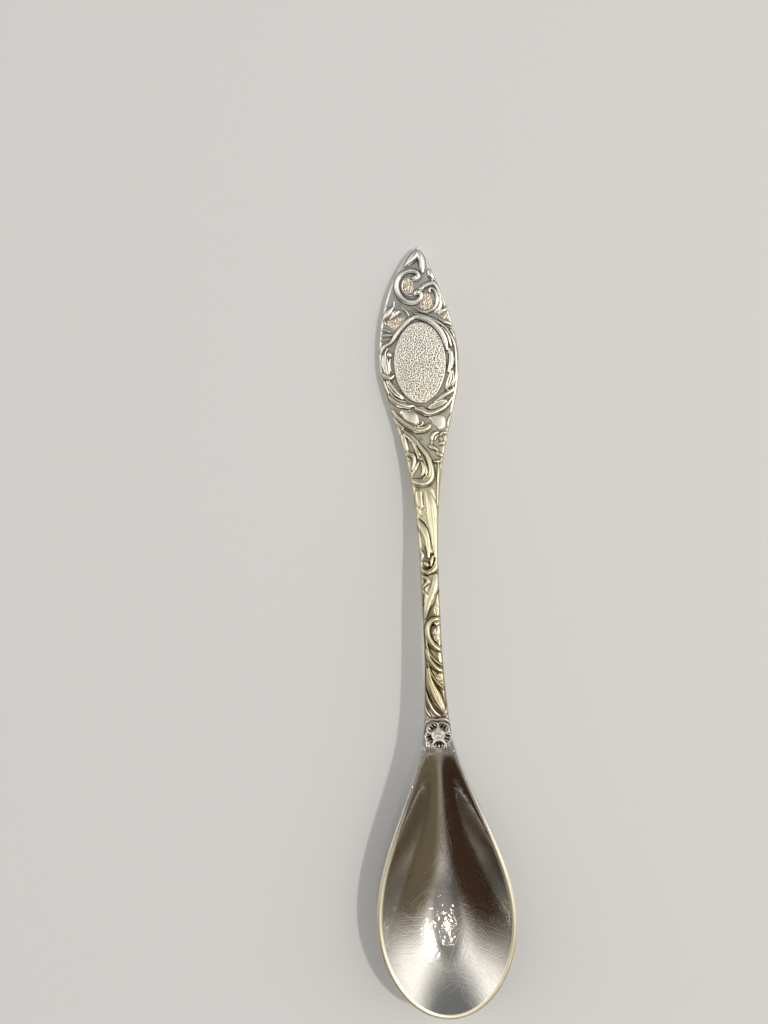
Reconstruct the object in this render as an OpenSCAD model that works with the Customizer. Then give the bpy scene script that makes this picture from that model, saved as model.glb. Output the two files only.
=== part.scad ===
// Teaspoon with a rococo handle: a raised bowl soldered to a forged handle,
// with a rosette over the seam and cast scroll ornament soldered on the face.
// The spoon lies bowl up, its long axis along Y and the handle's tip at +Y.

/* [Handle] */
// Length from the tip to the seam at the neck
handle_l = 79; // [72:1:92]
// Width at the medallion, the widest place
head_w = 13.2; // [12:0.1:16]
// Width of the stem at its narrowest place
stem_w = 2.8; // [2.4:0.1:4]
// Width at the seam with the bowl
neck_w = 4.4; // [4:0.1:6]
// Distance from the tip to the widest place
head_at = 19.5; // [18:0.5:22]
// How far the head takes to narrow into the stem
taper_l = 14.3; // [12:0.1:16]
// Length of the flare from the narrowest place to the neck
flare_l = 17; // [12:0.5:22]
// Thickness of the flat end
blade_t = 1.8; // [1.4:0.1:2.4]
// Thickness at the neck
neck_t = 2.2; // [1.8:0.1:2.8]
// Length that still lies flat on the table beyond the medallion's foot
flat_margin = 0.65; // [0.2:0.05:4]
// Height of the neck's underside above the table
neck_rise = 5.6; // [4:0.1:8]
// How far the tip leans to the right
tip_lean = 0.8; // [0:0.1:1.2]
// Length over which the tip leans
lean_l = 9; // [7:0.5:11]
// How far the centre line swings to the right below the medallion
sway = 0.45; // [0.2:0.05:0.6]
// Distance from the tip to the middle of the swing
sway_at = 30; // [27:1:33]
// Length over which the swing fades on either side
sway_l = 20; // [16:0.5:24]

/* [Bowl] */
// Length from the seam to the end of the bowl
bowl_l = 46; // [42:1:54]
// Greatest width over the rim
bowl_w = 22.4; // [20:0.2:28]
// Depth of the hollow below the rim
bowl_depth = 5.7; // [5:0.1:8]
// Thickness of the metal at the bottom and at the edge
bowl_wall = 0.9; // [0.7:0.1:1.3]
// Width of the flat rim
rim_w = 0.85; // [0.6:0.05:1.2]
// Length of the round end, from the widest place
round_l = 15.5; // [13:0.5:18]
// Distance from the seam to the start of the hollow
hollow_at = 3.4; // [3:0.1:5]
// How deep the resting spot under the bowl is worn flat
worn = 0.1; // [0.06:0.01:0.2]
// Radius of the hollow's nose below the rosette
nose_r = 0.8; // [0.5:0.05:1.2]
// Length over which the thick neck thins to the bowl's wall
heel_l = 5; // [3.5:0.5:7]

/* [Medallion] */
// Width of the oval plate
medallion_w = 8.6; // [8:0.1:8.8]
// Length of the oval plate
medallion_l = 13.5; // [12:0.1:13.6]
// Thickness of the oval plate
medallion_t = 0.25; // [0.2:0.05:0.4]
// Distance from the tip to the middle of the plate
medallion_at = 19.1; // [18.9:0.1:19.3]
// Distance of the plate's middle right of the axis
medallion_off = 0.45; // [0.3:0.05:0.55]
// How far the plate's top is turned to the right, in degrees
medallion_turn = 2.5; // [0:0.5:4]

/* [Ornament] */
// Width of a scroll of full breadth
scroll_w = 1; // [0.7:0.05:1.1]
// Height of the broad scrolls above the handle
relief_h = 0.6; // [0.4:0.05:0.8]
// Height of a narrow scroll as a multiple of its half width
ridge_steep = 1.6; // [1:0.1:2]

/* [Rosette] */
// Number of petals
petals = 5; // [4:1:6]
// Diameter over the petals
rosette_d = 4.1; // [3.6:0.1:4.4]
// Height of the boss in the middle above the neck
rosette_h = 0.85; // [0.6:0.05:1.1]

/* [Blossom] */
// Number of petals
blossom_petals = 5; // [4:1:6]
// Diameter over the petals
blossom_d = 2.6; // [2:0.1:2.8]
// Height of the blossom's eye
blossom_h = 0.65; // [0.4:0.05:0.8]
// Place of its middle across the handle, as a share of the half width
blossom_across = 0.56; // [0.5:0.01:0.58]
// Place of its middle along the handle, as a mark on the scroll pattern
blossom_along = 41; // [40.8:0.1:41.2]

/* [Hidden] */

silver = "#C9C3B4";
bright_silver = "#E6E1D2";
old_silver = "#A79F8C";

tip_y = (handle_l + bowl_l) / 2;
seam_y = tip_y - handle_l;
waist_at = handle_l - flare_l;
flat_l = medallion_at + medallion_l / 2 + flat_margin;
neck_top = neck_rise + neck_t;

// Fullness of the head's outline towards the tip, of its taper and of the flare
head_full = 0.72;
taper_full = 1.7;
flare_full = 2.2;
// How softly the handle lifts off the table
rise_full = 1.4;
// Stations along the curved stretches of the handle, and how much they crowd towards the tip
handle_steps = 60;
tip_crowd = 1.3;
rise_steps = 28;

// Share of the bowl's shoulder outline that is a sine, the rest is an S curve
shoulder_full = 0.42;
// Powers of the hollow's depth towards the neck and the end, and of its cross section
heel_full = 1.2;
toe_full = 0.82;
section_full = 2.3;
// How soon the hollow's round nose fades into its sides
nose_fade = 6;
// Stations along the bowl's shoulder, crowded towards the heel, and along its round end, and
// steps across its section
shoulder_steps = 20;
heel_crowd = 1.6;
round_steps = 15;
across = 12;
// The last station stops just short of the end, which it closes with a tiny face
last_angle = 88;
// Least half width of the hollow's strip where the bowl isn't hollow, as a share of the outline
strip_share = 0.02;

// Steps between two points of a scroll, and the angles at which its round ends are cut
scroll_steps = 2;
end_angles = [80, 55, 28];
// Cross section of a scroll: share of its half width, share of its height
ridge_section = [[-1, 0], [-0.8, 0.6], [-0.35, 0.95], [0.35, 0.95], [0.8, 0.6], [1, 0]];
// Section of a flower from the boss out to the petals' tips and back under them:
// share of its radius, share of its height
flower_section = [[0.05, 1], [0.18, 0.92], [0.26, 0.5], [0.42, 0.52], [0.68, 0.75], [0.88, 0.68], [1, 0.3],
                  [1, 0], [0.05, 0]];
// Points round one petal, the roundness of its end, and the depth of the notch between two petals
// as a share of the radius
petal_steps = 12;
petal_full = 0.7;
petal_notch = 0.4;
// The scroll pattern is drawn on a handle 100 long, on which the plate lies between these marks
plate_top = 15.6;
plate_foot = 32.7;

function smooth(t) = let (c = min(1, max(0, t))) c * c * (3 - 2 * c);

// Handle: t is the distance from the tip along the axis

function half_width(t) =
    t < head_at ? head_w / 2 * pow(sin(90 * t / head_at), head_full)
    : (stem_w + (head_w - stem_w) * exp(-pow((t - head_at) / taper_l, taper_full))
       + (neck_w - stem_w) * pow(max(0, (t - waist_at) / flare_l), flare_full)) / 2;

function centre_x(t) =
    tip_lean * pow(max(0, 1 - t / lean_l), 2) + sway * exp(-pow((t - sway_at) / sway_l, 2));

function rise(t) = min(1, max(0, (t - flat_l) / (handle_l - flat_l)));

function under_z(t) = neck_rise * pow(1 - pow(1 - rise(t), 2), rise_full);

function face_z(t) = under_z(t) + blade_t + (neck_t - blade_t) * smooth(rise(t));

// The face as built, in flat steps that the ornament sits on, and past the seam the bowl's rim
rise_at = [for (i = [0:rise_steps]) flat_l + (handle_l - flat_l) * i / rise_steps];
face_steps = concat([[0, blade_t]], [for (t = rise_at) [t, face_z(t)]]);

function built_z(t) = t < handle_l ? lookup(t, face_steps) : rim_z(t - handle_l);

// Bowl: d is the distance from the seam along the axis

widest_d = bowl_l - round_l;
hollow_end = bowl_l - rim_w;

function outline(d) =
    d < widest_d
    ? let (s = d / widest_d)
      neck_w / 2 + (bowl_w - neck_w) / 2 * (shoulder_full * sin(90 * s) + (1 - shoulder_full) * smooth(s))
    : bowl_w / 2 * sqrt(max(0, 1 - pow((d - widest_d) / round_l, 2)));

function hollow_outline(d) =
    d <= hollow_at || d >= hollow_end ? 0
    : d < widest_d
    ? let (s = (d - hollow_at) / (widest_d - hollow_at), side = (bowl_w / 2 - rim_w) * sin(90 * s))
      sqrt(side * side + 2 * nose_r * (d - hollow_at) * pow(1 - s, nose_fade))
    : (bowl_w / 2 - rim_w) * sqrt(max(0, 1 - pow((d - widest_d) / (round_l - rim_w), 2)));

// Depth along the axis as a share of the deepest place, for s from 0 at the heel to 1 at the toe
function belly(s) =
    let (peak = heel_full / (heel_full + toe_full))
    s <= 0 || s >= 1 ? 0
    : pow(s / peak, heel_full) * pow((1 - s) / (1 - peak), toe_full);

function rim_z(d) = neck_top + (bowl_wall + bowl_depth - neck_top) * smooth(d / widest_d);

function edge_t(d) = bowl_wall + (neck_t - bowl_wall) * exp(-pow(d / heel_l, 2));

function outside_z(d) = rim_z(d) - edge_t(d) - (bowl_depth + worn) * belly(d / bowl_l);

function hollow_z(d) = rim_z(d) - bowl_depth * belly((d - hollow_at) / (hollow_end - hollow_at));

function station(d) =
    let (y = seam_y - d,
         out = outline(d),
         hollow = max(hollow_outline(d), strip_share * out),
         top = rim_z(d),
         edge = top - edge_t(d),
         shares = [for (i = [0:across]) 2 * i / across - 1])
    concat([for (s = shares)
               [s * out, y, outside_z(d) + (edge - outside_z(d)) * pow(abs(s), section_full)]],
           [[out, y, top]],
           [for (s = shares)
               [-s * hollow, y, hollow_z(d) + (top - hollow_z(d)) * pow(abs(s), section_full)]],
           [[-out, y, top]]);

bowl_stations = concat(
    [0, hollow_at / 2],
    [for (i = [0:shoulder_steps]) hollow_at + (widest_d - hollow_at) * pow(i / shoulder_steps, heel_crowd)],
    [for (i = [1:round_steps]) widest_d + round_l * sin(last_angle * i / round_steps)]);

module bowl_shell() {
    n = 2 * across + 4;
    last = (len(bowl_stations) - 1) * n;
    points = [for (d = bowl_stations) each station(d)];
    sides = [for (i = [0:len(bowl_stations) - 2]) for (j = [0:n - 1])
        let (a = i * n + j, b = i * n + (j + 1) % n)
        each [[a, a + n, b], [b, a + n, b + n]]];
    // A closing face joins the points of the outside to those of the hollow straight above them
    lid = concat([for (j = [0:across - 1])
                     let (low = j, high = n - 2 - j)
                     each [[low, low + 1, high], [high, low + 1, high - 1]]],
                 [[0, n - 2, n - 1], [across, across + 1, across + 2]]);
    toe = [for (f = lid) [f[0] + last, f[2] + last, f[1] + last]];
    polyhedron(points, concat(sides, lid, toe));
}

module bowl() {
    color(bright_silver)
    difference() {
        bowl_shell();
        translate([-bowl_w / 2, -tip_y, -bowl_depth]) cube([bowl_w, bowl_l, bowl_depth]);
    }
}

module handle() {
    side_view = concat([[tip_y, 0]], [for (t = rise_at) [tip_y - t, under_z(t)]],
                       [for (i = [rise_steps + 1:-1:0]) [tip_y - face_steps[i][0], face_steps[i][1]]]);
    // Stations crowd towards the tip, where the outline turns fastest
    plan_at = [for (i = [1:handle_steps]) handle_l * pow(i / handle_steps, tip_crowd)];
    plan_view = concat([[centre_x(0), tip_y]],
                       [for (t = plan_at) [centre_x(t) + half_width(t), tip_y - t]],
                       [for (i = [handle_steps - 1:-1:0])
                           [centre_x(plan_at[i]) - half_width(plan_at[i]), tip_y - plan_at[i]]]);
    color(silver)
    intersection() {
        translate([-head_w, 0, 0]) rotate([90, 0, 90]) linear_extrude(2 * head_w) polygon(side_view);
        linear_extrude(2 * neck_top) polygon(plan_view);
    }
}

// Scroll ornament. A scroll is a list of points [across, along, half width]. Across is a share of the
// way from the plate's edge, or from the centre line where there is no plate, to the handle's edge,
// with the left side negative. Along is a mark on the pattern, and half width a share of scroll_w.

pattern_marks = [[0, 0], [plate_top, medallion_at - medallion_l / 2],
                 [plate_foot, medallion_at + medallion_l / 2], [100, handle_l]];

// Where the pattern's zero lies across the handle, on the given side of the plate
function pattern_zero(t, side) =
    let (y = medallion_at - t, chord = 1 - pow(2 * y / medallion_l, 2))
    chord <= 0 ? centre_x(t)
    : medallion_off + y * (1 - pow(medallion_w / medallion_l, 2)) * tan(medallion_turn)
      + side * medallion_w / 2 * sqrt(chord);

function on_handle(p) =
    let (t = lookup(p[1], pattern_marks),
         side = p[0] < 0 ? -1 : 1,
         zero = pattern_zero(t, side),
         edge = centre_x(t) + side * half_width(t))
    [zero + abs(p[0]) * (edge - zero), t, p[2] * scroll_w];

// A smooth curve through the points
function curve(p) =
    let (last = len(p) - 1)
    [for (i = [0:last - 1]) for (k = [0:scroll_steps - (i < last - 1 ? 1 : 0)])
        let (u = k / scroll_steps, a = p[max(0, i - 1)], b = p[i], c = p[i + 1], d = p[min(last, i + 2)])
        ((2 * b) + (c - a) * u + (2 * a - 5 * b + 4 * c - d) * u * u
         + (3 * b - a - 3 * c + d) * u * u * u) / 2];

function ridge_h(w) = min(relief_h, ridge_steep * w);

// The rings of a rounded ridge along the curve, which ends in half discs
function scroll(points) =
    let (path = curve([for (p = points) on_handle(p)]),
         last = len(path) - 1,
         start = ahead(path[1], path[0]),
         end = ahead(path[last - 1], path[last]),
         full = concat([for (a = end_angles) round_end(path[0], start, a)], path,
                       [for (i = [len(end_angles) - 1:-1:0]) round_end(path[last], end, end_angles[i])]),
         n = len(full) - 1)
    [for (i = [0:n]) scroll_ring(full[i], ahead(full[max(0, i - 1)], full[min(n, i + 1)]))];

// Unit vector from one point of a path towards another
function ahead(p, q) = let (v = [q[0] - p[0], q[1] - p[1]]) v / norm(v);

function round_end(p, way, angle) =
    [p[0] + way[0] * p[2] * sin(angle), p[1] + way[1] * p[2] * sin(angle), p[2] * cos(angle)];

function scroll_ring(p, way) =
    [for (s = ridge_section)
        on_face(p[0] - way[1] * s[0] * p[2], p[1] + way[0] * s[0] * p[2], s[1] * ridge_h(p[2]))];

function on_face(x, t, h) = [x, tip_y - t, built_z(t) + h];

// The rings of a flower with its middle at x, t: its first petal points along the bowl
function flower(x, t, radius, height, count) =
    let (n = count * petal_steps)
    [for (s = flower_section)
        [for (i = [0:n - 1])
            let (turn = -360 * i / n,
                 notch = petal_notch * smooth(s[0]) * (1 - pow(abs(cos(turn * count / 2)), petal_full)),
                 r = s[0] * radius * (1 - notch))
            on_face(x + r * sin(turn), t + r * cos(turn), s[1] * height)]];

// One solid for each list of rings, all rings of a list having as many points
module shells(list, shade = old_silver) {
    ends = [for (k = 0, n = 0; k <= len(list);
                 n = n + (k < len(list) ? len(list[k]) * len(list[k][0]) : 0), k = k + 1) n];
    points = [for (rings = list) for (ring = rings) each ring];
    faces = [for (k = [0:len(list) - 1])
        let (n = len(list[k][0]), first = ends[k], final = ends[k + 1] - n)
        each concat([[for (j = [0:n - 1]) first + j]],
                    [for (a = [first:n:final - n]) for (j = [0:n - 1])
                        let (p = a + j, q = a + (j + 1) % n)
                        each [[p, p + n, q], [q, p + n, q + n]]],
                    [[for (j = [n - 1:-1:0]) final + j]])];
    color(shade) polyhedron(points, faces);
}

module scrolls(list) {
    shells([for (points = list) scroll(points)]);
}

module medallion_plate() {
    color(bright_silver)
    translate([medallion_off, tip_y - medallion_at, blade_t]) rotate(-medallion_turn)
        linear_extrude(medallion_t) scale([medallion_w / 2, medallion_l / 2]) circle(1, $fn = 72);
}

module medallion_wreath() {
    scrolls([
        // Left side, from the arch over the plate down to the foot
        [[-0.10, 14.9, 0.20], [-0.10, 16.1, 0.22], [-0.12, 17.4, 0.24], [-0.18, 18.8, 0.24],
         [-0.26, 19.8, 0.18]],
        [[-0.32, 20.6, 0.22], [-0.56, 21.3, 0.30], [-0.74, 22.6, 0.28], [-0.76, 24.2, 0.24],
         [-0.62, 25.8, 0.20]],
        [[-0.34, 22.4, 0.32], [-0.34, 23.0, 0.32]],
        [[-0.64, 27.3, 0.24], [-0.40, 27.6, 0.32], [-0.18, 27.3, 0.22]],
        [[-0.72, 28.9, 0.18], [-0.72, 30.4, 0.26], [-0.68, 32.2, 0.32], [-0.60, 33.2, 0.34],
         [-0.40, 33.6, 0.32], [-0.26, 33.5, 0.20]],
        // Right side, from the arch down to the foot
        [[0.14, 14.7, 0.22], [0.38, 15.4, 0.30], [0.28, 16.6, 0.34], [0.34, 18.2, 0.36], [0.42, 19.8, 0.36],
         [0.55, 21.2, 0.26]],
        [[0.75, 22.4, 0.18], [0.78, 23.6, 0.24], [0.74, 25.2, 0.24], [0.50, 26.2, 0.24]],
        [[0.82, 27.6, 0.18], [0.84, 29.0, 0.24], [0.72, 30.4, 0.28], [0.52, 31.4, 0.30], [0.42, 32.2, 0.20]],
        [[0.88, 32.4, 0.18], [0.76, 33.4, 0.28], [0.50, 34.4, 0.34], [0.22, 34.8, 0.34], [-0.02, 34.7, 0.34],
         [-0.14, 34.3, 0.28]]
    ]);
}

module finial_leaf() {
    scrolls([
        [[-0.22, 2.1, 0.16], [-0.34, 2.9, 0.30], [-0.46, 3.7, 0.24], [-0.54, 4.3, 0.12]],
        [[0.14, 1.5, 0.24], [0.40, 2.5, 0.36], [0.56, 3.6, 0.36], [0.56, 4.7, 0.26], [0.50, 5.3, 0.14]]
    ]);
}

module crest_scroll_left() {
    scrolls([
        [[0.20, 7.0, 0.34], [0.24, 6.2, 0.34], [0.02, 5.5, 0.30], [-0.36, 5.5, 0.30], [-0.64, 6.2, 0.34],
         [-0.74, 7.5, 0.38], [-0.73, 9.0, 0.40], [-0.60, 10.4, 0.40], [-0.38, 11.4, 0.38],
         [-0.12, 11.8, 0.36], [0.10, 11.4, 0.36], [0.24, 10.6, 0.36], [0.22, 9.8, 0.34], [0.10, 9.5, 0.30]]
    ]);
}

module crest_scroll_right() {
    scrolls([
        // The scroll, then the leaf over it and the lobe at the edge
        [[0.56, 10.1, 0.20], [0.66, 9.6, 0.24], [0.78, 10.0, 0.28], [0.81, 11.1, 0.32], [0.75, 12.3, 0.32],
         [0.60, 13.2, 0.28], [0.38, 13.6, 0.24], [0.16, 13.3, 0.20], [0.04, 12.9, 0.16]],
        [[0.36, 8.7, 0.32], [0.56, 8.2, 0.34], [0.78, 8.3, 0.30], [0.92, 9.2, 0.20], [0.95, 10.4, 0.14]],
        [[0.88, 5.8, 0.16], [0.84, 6.4, 0.28], [0.80, 7.0, 0.18]]
    ]);
}

module shoulder_leaves() {
    scrolls([
        // Left
        [[-0.62, 12.2, 0.18], [-0.78, 12.8, 0.28], [-0.88, 13.8, 0.24], [-0.92, 14.6, 0.12]],
        [[-0.44, 13.2, 0.18], [-0.58, 14.0, 0.30], [-0.74, 14.7, 0.28], [-0.88, 15.6, 0.14]],
        [[-0.88, 17.2, 0.12], [-0.70, 17.1, 0.20], [-0.46, 17.4, 0.12]],
        [[-0.88, 18.3, 0.12], [-0.68, 18.2, 0.20], [-0.48, 18.4, 0.14]],
        [[-0.88, 19.4, 0.12], [-0.68, 19.3, 0.18], [-0.54, 19.6, 0.12]],
        // Right
        [[0.68, 14.7, 0.14], [0.80, 14.4, 0.24], [0.92, 14.0, 0.14]],
        [[0.70, 16.2, 0.14], [0.82, 16.4, 0.22], [0.88, 17.0, 0.14]]
    ]);
}

module apron_scroll() {
    scrolls([
        // The scroll and its inner curl, the two cushions it carries and the strand along the edge
        [[-0.80, 34.6, 0.20], [-0.74, 36.0, 0.26], [-0.58, 37.4, 0.34], [-0.36, 38.5, 0.38],
         [-0.08, 38.9, 0.38], [0.16, 38.5, 0.34], [0.22, 37.5, 0.26]],
        [[-0.06, 36.5, 0.14], [0.02, 36.9, 0.20], [-0.06, 37.5, 0.20], [-0.18, 37.6, 0.14]],
        [[-0.56, 35.0, 0.36], [-0.44, 35.7, 0.62], [-0.30, 36.5, 0.42]],
        [[0.54, 35.9, 0.50], [0.52, 37.2, 0.56]],
        [[0.92, 34.0, 0.14], [0.89, 35.4, 0.20], [0.88, 37.0, 0.20], [0.88, 38.4, 0.12]]
    ]);
}

module blossom_spray() {
    middle = on_handle([blossom_across, blossom_along, 0]);
    shells([
        flower(middle[0], middle[1], blossom_d / 2, blossom_h, blossom_petals),
        // Two buds hang from the blossom
        scroll([[0.66, 43.9, 0.20], [0.70, 44.5, 0.26], [0.72, 45.0, 0.16]]),
        scroll([[0.78, 45.9, 0.14], [0.78, 46.4, 0.20], [0.80, 46.9, 0.12]])
    ]);
}

module acanthus_hook() {
    scrolls([
        // The rib that sweeps down and hooks round, its inner strand, and the leaf's lobes
        [[-0.80, 38.9, 0.16], [-0.70, 39.7, 0.20], [-0.48, 40.8, 0.24], [-0.22, 42.0, 0.26],
         [0.02, 43.2, 0.28], [0.22, 44.6, 0.30], [0.38, 46.0, 0.34], [0.42, 47.4, 0.36],
         [0.34, 48.6, 0.38], [0.10, 49.5, 0.38], [-0.24, 49.6, 0.36], [-0.62, 49.1, 0.24]],
        [[-0.62, 41.6, 0.12], [-0.44, 42.9, 0.18], [-0.26, 44.2, 0.24], [-0.20, 45.0, 0.16]],
        [[-0.84, 40.6, 0.16], [-0.80, 41.6, 0.22], [-0.78, 42.6, 0.14]],
        [[-0.84, 43.6, 0.18], [-0.70, 43.8, 0.24], [-0.56, 44.2, 0.18]],
        [[-0.74, 45.0, 0.14], [-0.84, 45.7, 0.18], [-0.82, 46.6, 0.18], [-0.68, 47.2, 0.12]],
        [[-0.36, 45.9, 0.14], [-0.48, 46.7, 0.20], [-0.62, 47.8, 0.12]]
    ]);
}

module stem_leaf() {
    scrolls([
        // The long leaf with the volute at its foot, its left lobe, the inner lobe, a leaflet and a bud
        [[0.00, 51.4, 0.20], [0.26, 52.4, 0.36], [0.48, 54.0, 0.46], [0.58, 56.4, 0.44], [0.64, 59.4, 0.40],
         [0.66, 62.0, 0.36], [0.70, 64.4, 0.30], [0.56, 66.2, 0.28], [0.12, 67.2, 0.26], [-0.44, 67.2, 0.24],
         [-0.72, 66.5, 0.16]],
        [[-0.50, 51.8, 0.22], [-0.54, 53.0, 0.32], [-0.60, 54.3, 0.26], [-0.66, 55.3, 0.14]],
        [[-0.58, 56.8, 0.20], [-0.36, 58.4, 0.36], [-0.14, 60.3, 0.34], [-0.06, 62.2, 0.28],
         [-0.06, 64.0, 0.16]],
        [[-0.72, 62.4, 0.14], [-0.74, 63.7, 0.20], [-0.66, 64.8, 0.12]],
        [[-0.24, 65.5, 0.26], [-0.24, 65.9, 0.26]],
        [[0.80, 47.9, 0.12], [0.80, 50.0, 0.14], [0.82, 52.2, 0.12]]
    ]);
}

module stem_scrolls() {
    scrolls([
        // The bridging leaf, a curl and a bud, then the open scroll and the strand under it
        [[0.50, 68.6, 0.28], [0.56, 69.9, 0.40], [0.34, 71.4, 0.40], [0.04, 72.9, 0.34], [-0.34, 74.5, 0.28],
         [-0.62, 76.2, 0.14]],
        [[-0.66, 68.8, 0.14], [-0.42, 69.5, 0.24], [-0.52, 70.5, 0.14]],
        [[0.54, 74.7, 0.28], [0.54, 75.1, 0.28]],
        [[0.74, 77.2, 0.26], [0.20, 76.6, 0.28], [-0.34, 77.5, 0.28], [-0.50, 78.9, 0.28],
         [-0.42, 80.4, 0.30], [-0.20, 81.8, 0.32], [0.16, 82.8, 0.32], [0.64, 83.4, 0.26]],
        [[-0.66, 81.8, 0.14], [-0.58, 83.3, 0.18], [-0.34, 84.8, 0.22], [0.04, 86.0, 0.28],
         [0.46, 86.8, 0.30], [0.74, 87.0, 0.24]]
    ]);
}

module neck_leaf() {
    scrolls([
        // The lance leaf and the two straps beside it
        [[-0.56, 86.4, 0.14], [-0.42, 88.2, 0.34], [-0.12, 90.2, 0.56], [0.18, 92.0, 0.66],
         [0.42, 93.8, 0.50], [0.56, 95.4, 0.18]],
        [[-0.82, 92.2, 0.14], [-0.64, 93.8, 0.24], [-0.38, 95.3, 0.26], [-0.06, 96.2, 0.16]],
        [[-0.86, 94.8, 0.12], [-0.78, 95.6, 0.14], [-0.64, 96.4, 0.12]]
    ]);
}

module neck_rosette() {
    shells([flower(0, handle_l, rosette_d / 2, rosette_h, petals)], bright_silver);
}

bowl();
handle();
neck_rosette();
medallion_plate();
medallion_wreath();
finial_leaf();
crest_scroll_left();
crest_scroll_right();
shoulder_leaves();
apron_scroll();
blossom_spray();
acanthus_hook();
stem_leaf();
stem_scrolls();
neck_leaf();
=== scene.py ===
import bpy
import numpy as np
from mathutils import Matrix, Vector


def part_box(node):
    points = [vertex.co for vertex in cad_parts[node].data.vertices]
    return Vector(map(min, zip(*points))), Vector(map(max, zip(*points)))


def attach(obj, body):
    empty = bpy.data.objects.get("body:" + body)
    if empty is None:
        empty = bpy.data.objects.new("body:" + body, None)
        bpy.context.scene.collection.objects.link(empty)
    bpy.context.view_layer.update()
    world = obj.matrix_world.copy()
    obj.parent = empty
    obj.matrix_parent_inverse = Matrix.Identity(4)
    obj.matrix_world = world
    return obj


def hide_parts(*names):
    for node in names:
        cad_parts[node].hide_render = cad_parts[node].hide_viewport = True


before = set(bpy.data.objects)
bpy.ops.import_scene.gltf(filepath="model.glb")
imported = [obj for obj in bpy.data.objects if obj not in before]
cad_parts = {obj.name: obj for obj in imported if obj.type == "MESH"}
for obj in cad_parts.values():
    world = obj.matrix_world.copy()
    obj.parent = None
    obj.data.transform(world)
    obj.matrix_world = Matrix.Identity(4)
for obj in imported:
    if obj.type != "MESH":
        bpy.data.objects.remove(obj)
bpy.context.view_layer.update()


# Bowl: an egg-shaped bowl raised from sheet metal, with a flat planished rim and a thick heel soldered to the
# handle. It is silver-plated and polished to a mirror, and its underside is worn flat where it rests. Sizes
# in this file are in millimetres, and d runs from the seam at the neck to the bowl's end.
MM = 0.001
TINY = 1e-6
bowl_low, bowl_high = (np.array(corner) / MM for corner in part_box("bowl"))
bowl_w, bowl_l, neck_top = bowl_high[0] - bowl_low[0], bowl_high[1] - bowl_low[1], bowl_high[2]
seam_y = bowl_high[1]
bowl_depth, bowl_wall, rim_w = 5.7, 0.9, 0.85
round_l, hollow_at, middle_d = 15.5, 2.4, 28.0
neck_w, neck_t, heel_l = 4.4, 2.2, 5.0
lip_drop, bead_h, edge_r = 0.16, 0.2, 0.3
rim_eases_at, wear_at, lip_at, ease_l = 4.0, 7.0, 9.0, 16.0
widest_d, hollow_end = bowl_l - round_l, bowl_l - rim_w


def smooth(t):
    """An S curve from 0 to 1: three t squared less two t cubed, level at both ends."""
    c = np.clip(t, 0, 1)
    return c * c * (3 - 2 * c)


def bowl_outline(d):
    """Half width over the rim at d from the seam: part sine, part S curve, then a quarter ellipse."""
    sine_share = 0.42
    s = d / widest_d
    swell = sine_share * np.sin(np.pi / 2 * np.clip(s, 0, 1)) + (1 - sine_share) * smooth(s)
    shoulder = neck_w / 2 + (bowl_w - neck_w) / 2 * swell
    end = bowl_w / 2 * np.sqrt(np.clip(1 - ((d - widest_d) / round_l) ** 2, 0, None))
    return np.where(d < widest_d, shoulder, end)


def hollow_outline(d):
    """Half width of the hollow: the outline less a rim that narrows to the heel, then a quarter ellipse."""
    heel_share = 0.55
    rim = rim_w * (heel_share + (1 - heel_share) * smooth((d - rim_eases_at) / ease_l))
    end = (bowl_w / 2 - rim_w) * np.sqrt(np.clip(1 - ((d - widest_d) / (round_l - rim_w)) ** 2, 0, None))
    return np.where(d < widest_d, bowl_outline(d) - rim, end)


def belly(s, heel, toe):
    """Depth along the axis as a share of the deepest: s to the power heel times 1 - s to the power toe."""
    s = np.clip(s, 0, 1)
    peak = heel / (heel + toe)
    return (s / peak) ** heel * ((1 - s) / (1 - peak)) ** toe


def rim_z(d):
    """Height of the rim's face: the neck's top, easing down to the bowl's depth and wall at its widest."""
    return neck_top + (bowl_wall + bowl_depth - neck_top) * smooth(d / widest_d)


def lip_z(d):
    """Drop of the hollow's edge below the rim's face: an S curve, with none at the heel."""
    return lip_drop * smooth((d - lip_at) / ease_l)


def hollow_z(x, d):
    """The hollow: a power curve across, as deep along the axis as belly says. Towards the heel its edge is
    eased by a higher power, so that it fades into the face."""
    across_power, heel_power, toe_power, fade_power = 2.1, 1.2, 0.9, 1.8
    q = np.abs(np.clip(x / np.maximum(hollow_outline(d), TINY), -1, 1)) ** across_power
    deep = (bowl_depth - lip_z(d)) * belly((d - hollow_at) / (hollow_end - hollow_at), heel_power, toe_power)
    fade = fade_power - (fade_power - 1) * smooth((d - rim_eases_at) / ease_l)
    return rim_z(d) - lip_z(d) - deep * (1 - q) ** fade


def edge_z(d):
    """Lower edge of the rim: the metal is thick at the heel and thins to the wall."""
    return rim_z(d) - bowl_wall - (neck_t - bowl_wall) * np.exp(-(d / heel_l) ** 2)


def underside_z(x, d):
    """The outside: the edge less the belly's depth, by a power curve across, cut off at the table."""
    across_power, heel_power, toe_power, extra_depth = 2.3, 1.2, 0.82, 0.1
    q = np.abs(np.clip(x / np.maximum(bowl_outline(d), TINY), -1, 1)) ** across_power
    deep = (bowl_depth + extra_depth) * belly(d / bowl_l, heel_power, toe_power)
    return np.maximum(edge_z(d) - deep * (1 - q), 0)


def quarter_round(gap, radius):
    """Drop of a rounded edge: that of a quarter circle, for points a gap away from the edge."""
    r = np.maximum(radius, TINY)
    return r - np.sqrt(r ** 2 - np.clip(r - gap, 0, r) ** 2)


def reach(angle, x, d):
    """Distance from the bowl's middle to an outline, read off its points in polar form."""
    a, r = np.arctan2(x, d - middle_d), np.hypot(x, d - middle_d)
    order = np.argsort(a)
    return np.interp(np.abs(angle), a[order], r[order])


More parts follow.
